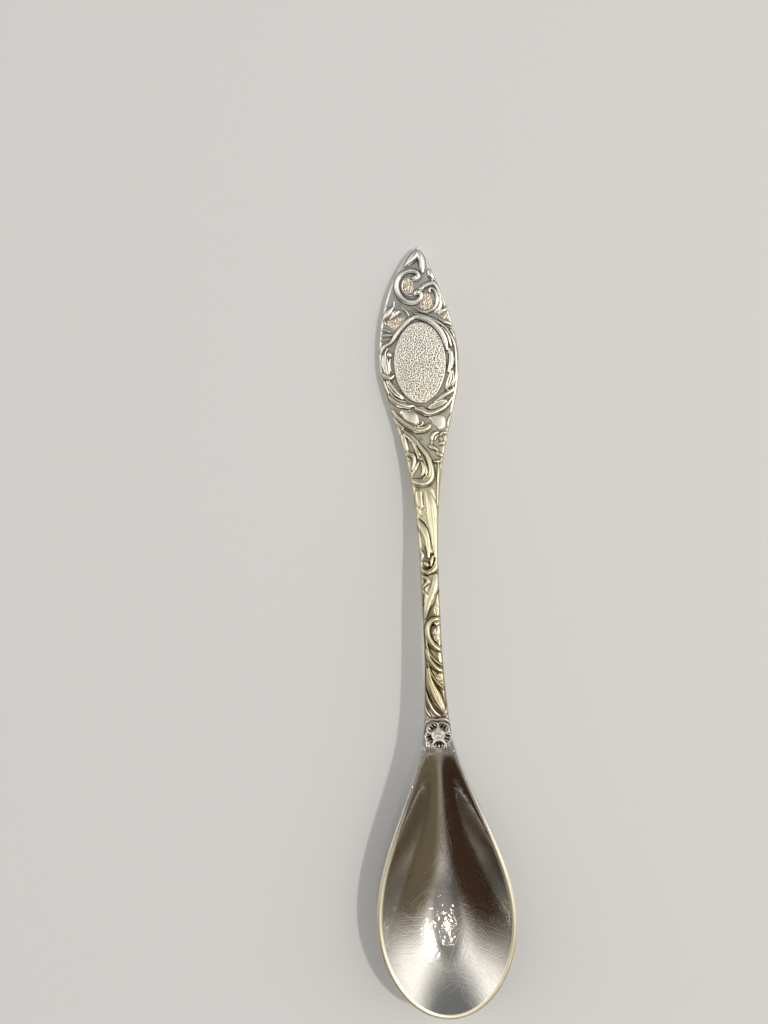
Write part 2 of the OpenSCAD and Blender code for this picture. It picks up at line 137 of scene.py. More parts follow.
def mesh_object(name, points, faces, attributes=()):
    """A smooth mesh piece from points in mm and rows of corner numbers. Its faces point outwards: they are
    turned over where the volume that they enclose is negative."""
    quads = np.concatenate([f if f.shape[1] == 4 else np.c_[f, f[:, :1]] for f in faces])
    p = points[quads]
    volume = (np.einsum("ij,ij->i", p[:, 0], np.cross(p[:, 1], p[:, 2]))
              + np.einsum("ij,ij->i", p[:, 0], np.cross(p[:, 2], p[:, 3]))).sum()
    rows = [row[::-1] if volume < 0 else row for f in faces for row in f.tolist()]
    mesh = bpy.data.meshes.new(name)
    mesh.from_pydata((points * MM).tolist(), [], rows)
    mesh.polygons.foreach_set("use_smooth", np.ones(len(rows), bool))
    for key, values in dict(attributes).items():
        mesh.attributes.new(key, "FLOAT", "POINT").data.foreach_set("value", values.astype(np.float32))
    piece = bpy.data.objects.new(name, mesh)
    bpy.context.scene.collection.objects.link(piece)
    return piece


def closed_shell(name, rings, first, last, **attributes):
    """A closed surface from rings of points, with a single point that closes either end."""
    count, around = rings.shape[:2]
    points = np.concatenate([[first], rings.reshape(-1, 3), [last]])
    ring = 1 + np.arange(count * around).reshape(count, around)
    turned = np.roll(ring, -1, axis=1)
    quads = np.stack([ring[:-1], ring[1:], turned[1:], turned[:-1]], -1).reshape(-1, 4)
    start = np.stack([np.zeros(around, int), ring[0], turned[0]], -1)
    end = np.stack([np.full(around, len(points) - 1), turned[-1], ring[-1]], -1)
    return mesh_object(name, points, [quads, start, end], attributes)


def bowl_piece():
    """The bowl's profile carried round its outline as rings about its middle: hollow, lip, flat rim, round
    edge, then the underside. A ring's points lie closer together towards the neck."""
    half_steps, outline_steps, seam_steps = 201, 4001, 200
    hollow_rings, rim_rings, under_rings = 64, 14, 61
    even_share, under_power, rounding_l = 0.55, 1.5, 2.0
    u = np.linspace(0, 1, half_steps)
    half = np.pi * (even_share * u + (1 - even_share) * (1 - (1 - u) ** 2))
    angle = np.concatenate([half, -half[-2:0:-1]])
    d = bowl_l * (1 - np.cos(np.pi * np.linspace(0, 1, outline_steps))) / 2
    seam_x = np.linspace(0, neck_w / 2, seam_steps)
    outer = reach(angle, np.concatenate([seam_x, bowl_outline(d)]), np.concatenate([0 * seam_x, d]))
    inside = hollow_at + (hollow_end - hollow_at) * d / bowl_l
    start_x = np.linspace(0, hollow_outline(np.array(hollow_at)), seam_steps)
    inner = reach(angle, np.concatenate([start_x, hollow_outline(inside)]),
                  np.concatenate([0 * start_x + hollow_at, inside]))

    def place(r, height):
        """A ring at distance r from the middle, as high as a function of x and d says."""
        x, along = r * np.sin(angle), middle_d + r * np.cos(angle)
        return np.stack([x, seam_y - along, height(x, along)], -1)

    rounding = smooth((middle_d + outer * np.cos(angle)) / rounding_l)
    rings = [place(inner * k / hollow_rings, hollow_z) for k in range(1, hollow_rings + 1)]
    wear = [0 * angle] * hollow_rings
    land = outer - inner
    for f in 0.5 - 0.5 * np.cos(np.pi * np.arange(1, rim_rings + 1) / rim_rings):
        r = inner + f * land
        lip = lip_z(middle_d + inner * np.cos(angle)) * np.clip(1 - 2 * f * land / rim_w, 0, 1) ** 2
        bead = bead_h * rounding * np.clip(1 - 2 * (1 - f) * land / rim_w, 0, 1) ** 2
        rings.append(place(r, lambda x, along: rim_z(along) - lip - bead))
        # The rim's share of real wear, which dulls it, and of painted highlight, which lightens its colour.
        wear.append(smooth((middle_d + r * np.cos(angle) - wear_at) / ease_l))
    for k in range(under_rings):
        r = outer * (1 - (k / under_rings) ** under_power)
        rise = quarter_round(outer - r, edge_r * rounding)
        rings.append(place(r, lambda x, along: underside_z(x, along) + rise))
        wear.append(wear[-1] if k == 0 else 0 * angle)
    middle_y = seam_y - middle_d
    top = [0, middle_y, float(hollow_z(np.array(0.0), np.array(middle_d)))]
    foot = [0, middle_y, float(underside_z(np.array(0.0), np.array(middle_d)))]
    worn_and_painted_light = np.concatenate([[0], np.concatenate(wear), [0]])
    return closed_shell("bowl_mirror", np.stack(rings), top, foot, wear=worn_and_painted_light)


def linear(code):
    """Linear red, green, blue and alpha of an sRGB hex colour."""
    c = np.array([int(code[i:i + 2], 16) for i in (1, 3, 5)]) / 255
    return tuple(np.where(c <= 0.04045, c / 12.92, ((c + 0.055) / 1.055) ** 2.4)) + (1.0,)


def put(tree, kind, inputs=None, **settings):
    """Adds a node of the kind with its settings, and sets or links each of its inputs."""
    node = tree.nodes.new("ShaderNode" + kind)
    for key, value in settings.items():
        setattr(node, key, value)
    for key, value in (inputs or {}).items():
        if isinstance(value, bpy.types.NodeSocket):
            tree.links.new(value, node.inputs[key])
        else:
            node.inputs[key].default_value = value
    return node


def new_tree(name):
    """A new material and its empty node tree."""
    material = bpy.data.materials.new(name)
    material.use_nodes = True
    material.node_tree.nodes.clear()
    return material, material.node_tree


def scratches(tree, place, turn, width, share):
    """Fine straight scratches: a noise drawn out along one direction, cut off so that few of them show."""
    length, full = 5.0, 0.85
    turned = put(tree, "Mapping", {"Vector": place, "Rotation": (0, 0, np.radians(turn)),
                                   "Scale": (width * MM, length * MM, length * MM)}, vector_type="TEXTURE")
    noise = put(tree, "TexNoise", {"Vector": turned.outputs[0], "Scale": 1.0, "Detail": 1.0,
                                   "Roughness": 0.4})
    shown = {"Value": noise.outputs["Fac"], "From Min": 1 - share, "From Max": full}
    return put(tree, "MapRange", shown).outputs[0]


def polished_silver_plate():
    """Bright silver plate, mirror-polished. Years of stirring left hair scratches that cross every way and a
    faint haze, so lamps are drawn out into soft stars. The rim is rubbed dull, and its colour is lightened to
    a pale yellow there as a painted highlight. The scratches are drawn 0.16 mm wide, coarser than they are,
    so that they show."""
    scratch_w, scratch_share, scratch_deep, haze_size, rim_dull = 0.16, 0.42, 0.03, 5.0, 0.35
    material, tree = new_tree("polished_silver_plate")
    place = put(tree, "TexCoord").outputs["Object"]
    wear = put(tree, "Attribute", attribute_name="wear").outputs["Fac"]
    lines = 0.0
    for turn in (12, 48, 80, 118, 155):
        more = scratches(tree, place, turn, scratch_w, scratch_share)
        lines = put(tree, "Math", {0: lines, 1: more}, operation="MAXIMUM").outputs[0]
    haze = put(tree, "TexNoise", {"Vector": place, "Scale": 1 / (haze_size * MM), "Detail": 4.0,
                                  "Roughness": 0.6}).outputs["Fac"]
    dull = put(tree, "MapRange", {"Value": haze, "From Min": 0.35, "From Max": 0.75,
                                  "To Min": 0.05, "To Max": 0.11}).outputs[0]
    rubbed_and_shaded = put(tree, "Math", {0: wear, 1: rim_dull, 2: dull}, operation="MULTIPLY_ADD").outputs[0]
    bump = put(tree, "Bump", {"Height": lines, "Strength": 0.36, "Distance": scratch_deep * MM}).outputs[0]
    tone = put(tree, "Mix", {"Factor": haze, "A": linear("#CECAC2"), "B": linear("#BBB5AA")},
               data_type="RGBA")
    # Painted highlight: the rim is coloured pale yellow, lighter than the hollow, by the same share that
    # dulls it.
    rim_highlight_tone = put(tree, "Mix", {"Factor": wear, "A": tone.outputs["Result"], "B": linear("#FFF7DA")},
                   data_type="RGBA")
    shader = put(tree, "BsdfPrincipled", {"Base Color": rim_highlight_tone.outputs["Result"], "Metallic": 1.0,
                                          "Roughness": rubbed_and_shaded, "Normal": bump})
    put(tree, "OutputMaterial", {"Surface": shader.outputs[0]})
    return material


def finish_piece(piece, material, slot, *nodes):
    """Gives a piece its material and its place on the spoon. The slot is not used."""
    piece.data.materials.append(material)
    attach(piece, "root")
    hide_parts(*nodes)
    return piece


finish_piece(bowl_piece(), polished_silver_plate(), "polished_silver", "bowl")


# Handle: a forged blank, flat under its broad end and rising to the neck, with softened edges and a face that
# is slightly crowned. It is silver-plated, and the plate is worn on the edges and dark between the ornament.
# t runs from the tip to the seam. Its finish comes last, because it depends on the ornament.
handle_low, handle_high = (np.array(corner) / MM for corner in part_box("handle"))
tip_y, handle_l = handle_high[1], handle_high[1] - handle_low[1]
head_w, head_at, taper_l = 13.2, 19.5, 14.3
stem_w, flare_l, blade_t, neck_rise = 2.8, 17.0, 1.8, 5.6
flat_l, tip_lean, lean_l = 26.5, 0.8, 9.0
sway, sway_at, sway_l = 0.45, 30.0, 20.0
crown, crown_ease_l, face_r, back_r = 0.14, 6.0, 0.42, 0.7


def handle_half(t):
    """Half width at t: a sine to the widest place, a bell-shaped taper, then a flare to the neck."""
    head_power, taper_power, flare_power = 0.72, 1.7, 2.2
    head = head_w / 2 * np.sin(np.pi / 2 * np.clip(t / head_at, 0, 1)) ** head_power
    taper = stem_w + (head_w - stem_w) * np.exp(-np.clip((t - head_at) / taper_l, 0, None) ** taper_power)
    flare = (neck_w - stem_w) * np.clip((t - handle_l + flare_l) / flare_l, 0, None) ** flare_power
    return np.where(t < head_at, head, (taper + flare) / 2)


def handle_middle(t):
    """The centre line's distance right of the axis: the tip leans and the middle sways."""
    return tip_lean * np.clip(1 - t / lean_l, 0, None) ** 2 + sway * np.exp(-((t - sway_at) / sway_l) ** 2)


def risen(t):
    """Share of the way from the end of the flat to the neck."""
    return np.clip((t - flat_l) / (handle_l - flat_l), 0, 1)


def back_z(t):
    """Height of the underside: level to the end of the flat, then a soft rise to the neck."""
    rise_power = 1.4
    return neck_rise * (1 - (1 - risen(t)) ** 2) ** rise_power


def edge_round(radius, half, t):
    """Radius of a softened edge: at most a share of the half width, and running out at the seam."""
    most_share, run_out_l = 0.6, 2.0
    return np.minimum(radius, most_share * half) * smooth((handle_l - t) / run_out_l)


def face_z(x, t):
    """Height of the face: the back plus the thickness, crowned across and rounded at the edges. Past the seam
    it is the bowl's rim."""
    least_half = 1e-3
    half = np.maximum(handle_half(t), least_half)
    off = np.abs(x - handle_middle(t))
    z = back_z(t) + blade_t + (neck_t - blade_t) * smooth(risen(t))
    drop = crown * np.clip(off / half, 0, 1) ** 2 * smooth((handle_l - t) / crown_ease_l)
    drop = drop + quarter_round(half - off, edge_round(face_r, half, t))
    return np.where(t > handle_l, rim_z(np.maximum(t - handle_l, 0)), z - drop)


def handle_piece():
    """The handle's cross section, crowned face and flat back with round edges, carried from tip to neck."""
    ring_count, face_count, back_count = 620, 91, 41
    first_share, spacing_power = 0.004, 1.15
    t = handle_l * np.linspace(first_share, 1, ring_count) ** spacing_power
    face = np.sin(np.linspace(-np.pi / 2, np.pi / 2, face_count))
    back = np.sin(np.linspace(np.pi / 2, -np.pi / 2, back_count))
    half, middle = handle_half(t)[:, None], handle_middle(t)[:, None]
    face_x, back_x = middle + half * face, middle + half * back
    edge = edge_round(back_r, half, t[:, None])
    back_height = back_z(t)[:, None] + quarter_round(half - np.abs(back_x - middle), edge)
    x = np.concatenate([face_x, back_x], 1)
    z = np.concatenate([face_z(face_x, t[:, None]), back_height], 1)
    y = np.broadcast_to(tip_y - t[:, None], x.shape)
    rings = np.stack([x, y, z], -1)
    tip = [tip_lean, tip_y, rings[0, :, 2].mean()]
    return closed_shell("handle_blank", rings, tip, rings[-1].mean(0))


handle_blank = handle_piece()


# Ornament: rococo scrolls and leaves, cast in one with their veins and soldered on the face. Each stroke of a
# motif is a ridge of its own section along a curve, and the highest stroke shows at each place. Its points
# give x right of the axis, t from the tip, half width and height, which are then scaled.
STEP, grid_half, grid_l = 0.05, 7.2, 83
height_scale, width_scale = 0.8, 1.15
no_metal, sink, root_depth = -1.0, 0.12, 0.25
across = np.arange(-grid_half, grid_half, STEP)
down = np.arange(0, grid_l, STEP)
height_map = np.zeros((len(down), len(across)))
dot_map = np.zeros(height_map.shape)
reliefs = []
dots = np.random.default_rng(seed=7)
dot_pitch, dot_r, dot_deep = 0.28, 0.11, 0.06
dot_shake, dot_rows, dot_cols = 0.42, 300, 60
dot_shift = dots.uniform(-dot_shake, dot_shake, (dot_rows, dot_cols, 2))
grid_x, grid_t = np.meshgrid(across, down)


def punched(x, t):
    """Matting: round dimples on a shaken grid, as a matting punch leaves them. The depth at each place is
    a parabola of the distance to the nearest dot."""
    col, row = np.floor(x / dot_pitch).astype(int), np.floor(t / dot_pitch).astype(int)
    nearest = np.full(x.shape, np.inf)
    for i in (-1, 0, 1):
        for j in (-1, 0, 1):
            shift = dot_shift[(row + j) % dot_rows, (col + i) % dot_cols]
            gap = np.hypot(x - (col + i + 0.5 + shift[..., 0]) * dot_pitch,
                           t - (row + j + 0.5 + shift[..., 1]) * dot_pitch)
            nearest = np.minimum(nearest, gap)
    return dot_deep * np.clip(1 - (nearest / dot_r) ** 2, 0, None)


dimples = punched(grid_x, grid_t)


def along(points):
    """A smooth curve through points of x, t, half width and height, with cubic pieces between them."""
    steps = 16
    p = np.array(points, float)
    if len(p) == 1:
        return p
    padded = np.concatenate([p[:1], p, p[-1:]])
    a, b, c, d = padded[:-3, None], padded[1:-2, None], padded[2:-1, None], padded[3:, None]
    u = np.linspace(0, 1, steps)[:, None]
    curve = 2 * b + (c - a) * u + (2 * a - 5 * b + 4 * c - d) * u ** 2 + (3 * b - a - 3 * c + d) * u ** 3
    return (curve / 2).reshape(-1, 4)


# Sections of a ridge at q, the distance from its curve over its half width. A rib is rounded, a strap nearly
# flat, and a cup dips to about half its height between its edges and has a fine rib along its middle.
SECTIONS = {
    "rib": lambda q: 1 - q ** 2.4,
    "strap": lambda q: 1 - q ** 4,
    "cup": lambda q: (1 - q ** 6) * (0.55 + 0.45 * q ** 2) + 0.25 * np.exp(-(q / 0.2) ** 2) * (q < 1),
}


def vein(*spots):
    """A hair groove through spots of x and t, shallower and narrower at both ends."""
    end, middle = (0.05, 0.06), (0.07, 0.1)
    sizes = [end] + [middle] * (len(spots) - 2) + [end]
    return "groove", *(spot + size for spot, size in zip(spots, sizes))


def window(points, margin):
    """The slices of the face's grid that a list of curve points touches."""
    wide = points[:, 2].max() + margin
    top, bottom = points[:, 1].min() - wide, points[:, 1].max() + wide
    left, right = points[:, 0].min() - wide - across[0], points[:, 0].max() + wide - across[0]
    return (slice(max(int(top / STEP), 0), int(bottom / STEP) + 2),
            slice(max(int(left / STEP), 0), int(right / STEP) + 2))


def relief(strokes):
    """Heights of a motif over the face's grid, and where it is matted: the highest of its strokes, less its
    grooves. A stroke's height is its section at the distance to its curve over its half width there."""
    margin, width_pull, least_width = 0.4, 0.6, 0.02
    height = np.full(height_map.shape, no_metal)
    matted = np.zeros(height_map.shape)
    for kind, *points in strokes:
        curve = along(points)
        part = window(curve, margin)
        x, t = np.meshgrid(across[part[1]], down[part[0]])
        gap = np.hypot(x[..., None] - curve[:, 0], t[..., None] - curve[:, 1])
        near = (gap - width_pull * curve[:, 2]).argmin(-1)
        wide, tall = np.maximum(curve[near, 2], least_width), curve[near, 3]
        if kind in SECTIONS:
            wide = width_scale * wide
        q = np.take_along_axis(gap, near[..., None], -1)[..., 0] / wide
        if kind == "groove":
            height[part] -= tall * np.clip(1 - q ** 2, 0, None)
        elif kind == "matted":
            height[part] = np.maximum(height[part], np.where(q < 1, tall, no_metal))
            matted[part] = np.maximum(matted[part], q < 1)
        else:
            ridge = height_scale * tall * np.where(q < 1, SECTIONS[kind](q), 2 * (1 - q))
            height[part] = np.maximum(height[part], ridge)
            matted[part] = np.where((ridge >= height[part]) & (q < 1), 0, matted[part])
    return height - matted * dimples, matted


def blurred(a, radius):
    """Mean over a square window, three times over, which is nearly a bell-shaped blur."""
    n = max(int(radius / STEP), 1)
    for _ in range(3):
        for axis in (0, 1):
            pad = [(n + 1, n) if k == axis else (0, 0) for k in (0, 1)]
            total = np.cumsum(np.pad(a, pad, mode="edge"), axis)
            upper = np.take(total, np.arange(2 * n + 1, total.shape[axis]), axis)
            lower = np.take(total, np.arange(0, total.shape[axis] - 2 * n - 1), axis)
            a = (upper - lower) / (2 * n + 1)
    return a


def on_the_face(height):
    """Fades a height out at the handle's edges, so that the relief runs into the rounded edge. It also gives
    the places that lie within the outline."""
    fade_l, fade_start, margin = 0.35, 0.15, 0.02
    half = np.where(grid_t < handle_l, handle_half(grid_t), bowl_outline(np.maximum(grid_t - handle_l, 0)))
    room = half - np.abs(grid_x - handle_middle(np.minimum(grid_t, handle_l)))
    return np.where(height > 0, height * smooth(room / fade_l + fade_start), height), room > margin


def corners(a):
    """The four corners of every cell of a grid, each as a view of the grid."""
    return a[:-1, :-1], a[:-1, 1:], a[1:, :-1], a[1:, 1:]


def relief_piece(name, height, matted, node, slot, material, *tarnish):
    """A motif as a closed piece: its relief on top, sunk a little into the face, with a back of the same
    outline and walls between them. Matted pockets are golden only above the medallion's foot."""
    medallion_foot, shown_sink, same_height = 26.0, 0.1, 0.01
    height, inside = on_the_face(height)
    np.maximum(height_map, np.clip(height, 0, None), out=height_map)
    shown = height >= height_map - same_height
    np.maximum(dot_map, matted * dimples / dot_deep * shown, out=dot_map)
    up = np.maximum(height, -sink)
    keep = np.max(corners(up), 0) > -shown_sink
    keep &= np.all(corners(inside), 0)
    # Two cells that meet only at a corner are joined by the other two, so that no edge carries four faces.
    for _ in range(3):
        a, b, c, d = corners(keep)
        crossed = (a & d & ~b & ~c) | (b & c & ~a & ~d)
        for cell in (a, b, c, d):
            cell |= crossed
    rows, cols = np.nonzero(keep)
    wide = len(across)
    corner = rows * wide + cols
    quad = np.stack([corner, corner + wide, corner + wide + 1, corner + 1], -1)
    used, top = np.unique(quad, return_inverse=True)
    top = top.reshape(-1, 4)
    count = len(used)
    walls = []
    padded = np.pad(keep, 1)
    for (i, j), (m, n) in (((-1, 0), (3, 0)), ((1, 0), (1, 2)), ((0, -1), (0, 1)), ((0, 1), (2, 3))):
        edge = ~padded[rows + 1 + i, cols + 1 + j]
        walls.append(np.stack([top[edge, n], top[edge, m], top[edge, m] + count, top[edge, n] + count], -1))
    x, t, z = (v.ravel()[used] for v in (grid_x, grid_t, up))
    base = face_z(x, t)
    points = np.concatenate([np.stack([x, tip_y - t, base + rise], -1) for rise in (z, -root_depth)])
    gilt = {"matted": np.tile(matted.ravel()[used] * (t < medallion_foot), 2)}
    piece = mesh_object(name, points, [top, top[:, ::-1] + count] + walls, gilt)
    reliefs.append((finish_piece(piece, material, slot, node), tarnish))


def plate_colour_with_painted_light(tree, place, dark):
    """Colour of old plate: pale silver at the tip, tinted yellow along the stem as a painted warm reflection,
    darkened towards the neck as painted shade, and pale again at the neck. The recesses that polishing can't
    reach are grey-black, and brown along the stem."""
    warm_reflection_span, neck_span, stem_shade_span = (6, 42), (79, 73), (50, 72)
    y = put(tree, "SeparateXYZ", {"Vector": place}).outputs["Y"]
    shares = []
    for start, end in (warm_reflection_span, neck_span, stem_shade_span):
        ramp = {"Value": y, "From Min": (tip_y - start) * MM, "From Max": (tip_y - end) * MM}
        shares.append(put(tree, "MapRange", ramp).outputs[0])
    warm_reflection_ramp, neck, rubbed_and_shaded = shares
    # Painted warm reflection: a yellow tint that grows along the stem and fades out at the neck.
    painted_warm_reflection = put(tree, "Math", {0: warm_reflection_ramp, 1: neck}, operation="MULTIPLY").outputs[0]
    # Painted shade: the stem's yellow darkens to olive towards the neck.
    yellow = put(tree, "Mix", {"Factor": rubbed_and_shaded, "A": linear("#F0E7C4"), "B": linear("#B5A986")},
                 data_type="RGBA").outputs["Result"]
    bright = put(tree, "Mix", {"Factor": painted_warm_reflection, "A": linear("#F8F5EF"), "B": yellow},
                 data_type="RGBA").outputs["Result"]
    stain = put(tree, "Mix", {"Factor": warm_reflection_ramp, "A": linear("#3E362E"), "B": linear("#2E1C08")},
                data_type="RGBA").outputs["Result"]
    return put(tree, "Mix", {"Factor": dark, "A": bright, "B": stain}, data_type="RGBA").outputs["Result"]


def clouded(tree, place, size, detail, roughness, share):
    """Tarnish with its clouds: the darkness painted on the points, plus a share of a noise of that size."""
    patina = put(tree, "Attribute", attribute_name="patina").outputs["Fac"]
    cloud = put(tree, "TexNoise", {"Vector": place, "Scale": 1 / (size * MM), "Detail": detail,
                                   "Roughness": roughness}).outputs["Fac"]
    return put(tree, "Math", {0: cloud, 1: share, 2: patina}, operation="MULTIPLY_ADD").outputs[0]


def oxidised_silver_plate():
    """Silver plate left dark in the recesses and rubbed bright on the high edges. The punched grounds are
    golden where the plate is thin."""
    material, tree = new_tree("oxidised_silver_plate")
    place = put(tree, "TexCoord").outputs["Object"]
    matted = put(tree, "Attribute", attribute_name="matted").outputs["Fac"]
    tarnish = clouded(tree, place, size=0.6, detail=3.0, roughness=0.6, share=0.3)
    dark = put(tree, "MapRange", {"Value": tarnish, "From Min": 0.4, "From Max": 1.1}).outputs[0]
    worn_and_painted_light = plate_colour_with_painted_light(tree, place, dark)
    gold = put(tree, "Mix", {"Factor": dark, "A": linear("#E4D6BE"), "B": linear("#78664C")},
               data_type="RGBA")
    tone = put(tree, "Mix", {"Factor": matted, "A": worn_and_painted_light, "B": gold.outputs["Result"]}, data_type="RGBA")
    dull = put(tree, "MapRange", {"Value": tarnish, "From Min": 0.1, "From Max": 0.9,
                                  "To Min": 0.3, "To Max": 0.2}).outputs[0]
    shader = put(tree, "BsdfPrincipled", {"Base Color": tone.outputs["Result"], "Metallic": 1.0,
                                          "Roughness": dull})
    put(tree, "OutputMaterial", {"Surface": shader.outputs[0]})
    return material


oxidised = oxidised_silver_plate()
open_ground, open_veins = 0.08, 0.5


def ornament(node, strokes, ground=open_ground, veins=open_veins, cups=0.0, over=no_metal):
    """A cast motif in oxidised plate on the face: the higher of its strokes and of a height laid over them.
    The other three say how dark its ground, veins and cups are."""
    height, matted = relief(strokes)
    relief_piece(node + "_relief", np.maximum(height, over), matted, node, "oxidised_silver", oxidised,
                 ground, veins, cups)


# Finial leaf: the pointed leaf that hoods the tip, its two rolled edges meeting at the point. It is cast and
# silver-plated, soldered on the blank's face and filed flush with its edge.
ornament("finial_leaf", [
    ("rib", (.86, 1, .3, .44), (.48, 1.6, .56, .62), (-.1, 2.2, .54, .6), (-.7, 2.75, .36, .5),
     (-1.25, 3.15, .14, .26)),
    ("rib", (.98, 1, .3, .44), (1.32, 1.8, .54, .64), (1.58, 2.7, .52, .64), (1.64, 3.5, .44, .58),
     (1.62, 4.25, .28, .42)),
])


# Left crest scroll: a large C-scroll with a volute at both ends, round a thin ring and punched ground. It is
# cast and silver-plated, soldered under the finial leaf, and its ground is golden where the plate is thin.
ornament("crest_scroll_left", [
    ("matted", (-.85, 6.1, .85, .05), (-.8, 6.9, .8, .05)),
    ("rib", (-.05, 5.2, .26, .5), (.32, 5.45, .3, .52), (.78, 5.25, .32, .55), (.92, 4.75, .34, .58),
     (.55, 4.22, .34, .6), (-.1, 4, .34, .6), (-.95, 4.08, .34, .6), (-1.85, 4.52, .36, .62),
     (-2.48, 5.3, .38, .62), (-2.74, 6.3, .4, .64), (-2.62, 7.3, .42, .64), (-2.18, 8.2, .44, .64),
     (-1.4, 8.88, .44, .64), (-.4, 9.15, .42, .62), (.5, 9, .4, .6), (1.08, 8.55, .38, .6),
     (1.22, 8, .36, .58), (.95, 7.55, .36, .56), (.5, 7.5, .34, .54), (.22, 7.85, .28, .46)),
    ("rib", (-.5, 5.12, .11, .26), (-1.15, 5.2, .12, .3), (-1.65, 5.75, .13, .32), (-1.85, 6.5, .13, .32),
     (-1.7, 7.2, .13, .32), (-1.3, 7.75, .13, .3), (-.8, 8, .12, .28), (-.3, 8.05, .1, .22)),
    ("rib", (.3, 5.1, .38, .56), (.4, 5.2, .38, .56)),
    ("rib", (.72, 7.6, .4, .58), (.8, 7.65, .4, .58)),
])


# Right crest scroll: a smaller C-scroll with a leaf hooked over it and a lobe at the handle's edge. It is
# cast and silver-plated, and soldered beside the left scroll over the same punched golden ground.
ornament("crest_scroll_right", [
    ("matted", (2.05, 8.5, .75, .05), (2, 9.6, 1.05, .05)),
    ("rib", (4.3, 8.4, .22, .24), (4.45, 9.4, .27, .27), (4.1, 10.3, .27, .27), (3.3, 10.95, .2, .2)),
    ("rib", (1.3, 7.05, .36, .5), (1.8, 6.6, .36, .55), (2.45, 6.28, .36, .56), (3.15, 6.2, .34, .56),
     (3.68, 6.62, .32, .54), (4.08, 7.4, .3, .52), (4.55, 8.3, .32, .52), (4.88, 9.2, .3, .5),
     (4.95, 9.9, .2, .36)),
    ("rib", (2.66, 7.6, .24, .44), (2.62, 7.2, .26, .48), (3, 6.98, .24, .5), (3.42, 7.35, .24, .52),
     (3.72, 8, .26, .54), (3.85, 8.7, .28, .54), (3.72, 9.5, .3, .54), (3.3, 10.15, .3, .54),
     (2.7, 10.58, .28, .52), (1.9, 10.82, .26, .5), (1.1, 10.7, .22, .44), (.4, 10.3, .18, .36),
     (-.2, 9.85, .12, .24)),
    ("rib", (3.9, 11.15, .24, .36), (4.6, 10.8, .34, .48), (5.3, 10.45, .24, .38)),
    ("rib", (2.75, 4.2, .34, .44), (2.95, 4.75, .5, .58), (3.2, 5.3, .38, .48)),
    ("rib", (3.35, 5.45, .1, .24), (4, 6, .12, .28), (4.45, 6.8, .12, .28), (4.65, 7.6, .1, .22)),
    ("rib", (3.1, 5.65, .09, .2), (3.75, 6.3, .09, .22), (4.2, 7, .09, .2)),
    ("rib", (1.3, 7, .4, .54), (1.4, 6.95, .4, .54)),
])


# Shoulder leaves: leaf tips and small folds along both edges, with punched golden ground between them. They
# are small castings in silver plate, soldered one by one beside the top of the oval.
ornament("shoulder_leaves", [
    ("matted", (-3.9, 12.5, .7, .05), (-2.9, 12.3, .8, .05), (-2.1, 12, .5, .05)),
    ("matted", (-3.2, 13.1, .6, .05)),
    ("matted", (5, 11.7, .5, .05)),
    ("rib", (-3.6, 9.9, .24, .36), (-4.1, 10.5, .42, .56), (-4.75, 11.2, .42, .56), (-5.3, 11.85, .2, .32)),
    ("rib", (-2.65, 10.62, .32, .48), (-3.1, 10.85, .5, .58), (-3.6, 11.35, .4, .5),
     (-4.1, 11.75, .2, .32)),
    ("rib", (-3.25, 8.9, .1, .2), (-3.35, 9.7, .1, .22)),
    ("rib", (-2.6, 9.4, .1, .2), (-2, 9.9, .12, .22)),
    ("rib", (-4.6, 9.5, .08, .18), (-3.9, 9.4, .08, .2)),
    ("rib", (-4.95, 12.2, .16, .32), (-4.85, 12.6, .16, .32)),
    ("rib", (-5.6, 13.5, .12, .24), (-5, 13.5, .2, .38), (-4.3, 13.8, .16, .32)),
    ("rib", (-5.8, 14.4, .12, .24), (-5, 14.3, .24, .42), (-4, 14.4, .18, .38)),
    ("rib", (-5.9, 15.2, .1, .22), (-5.2, 15.05, .16, .28), (-4.5, 15.1, .1, .22)),
    ("rib", (4, 12.15, .16, .3), (4.9, 12.6, .28, .48), (5.85, 13.05, .16, .3)),
    ("rib", (5.6, 13.5, .12, .28), (6.1, 13.6, .12, .28)),
    ("rib", (5.75, 14, .16, .34), (6.15, 14.7, .18, .38), (6.35, 15.3, .14, .3)),
])


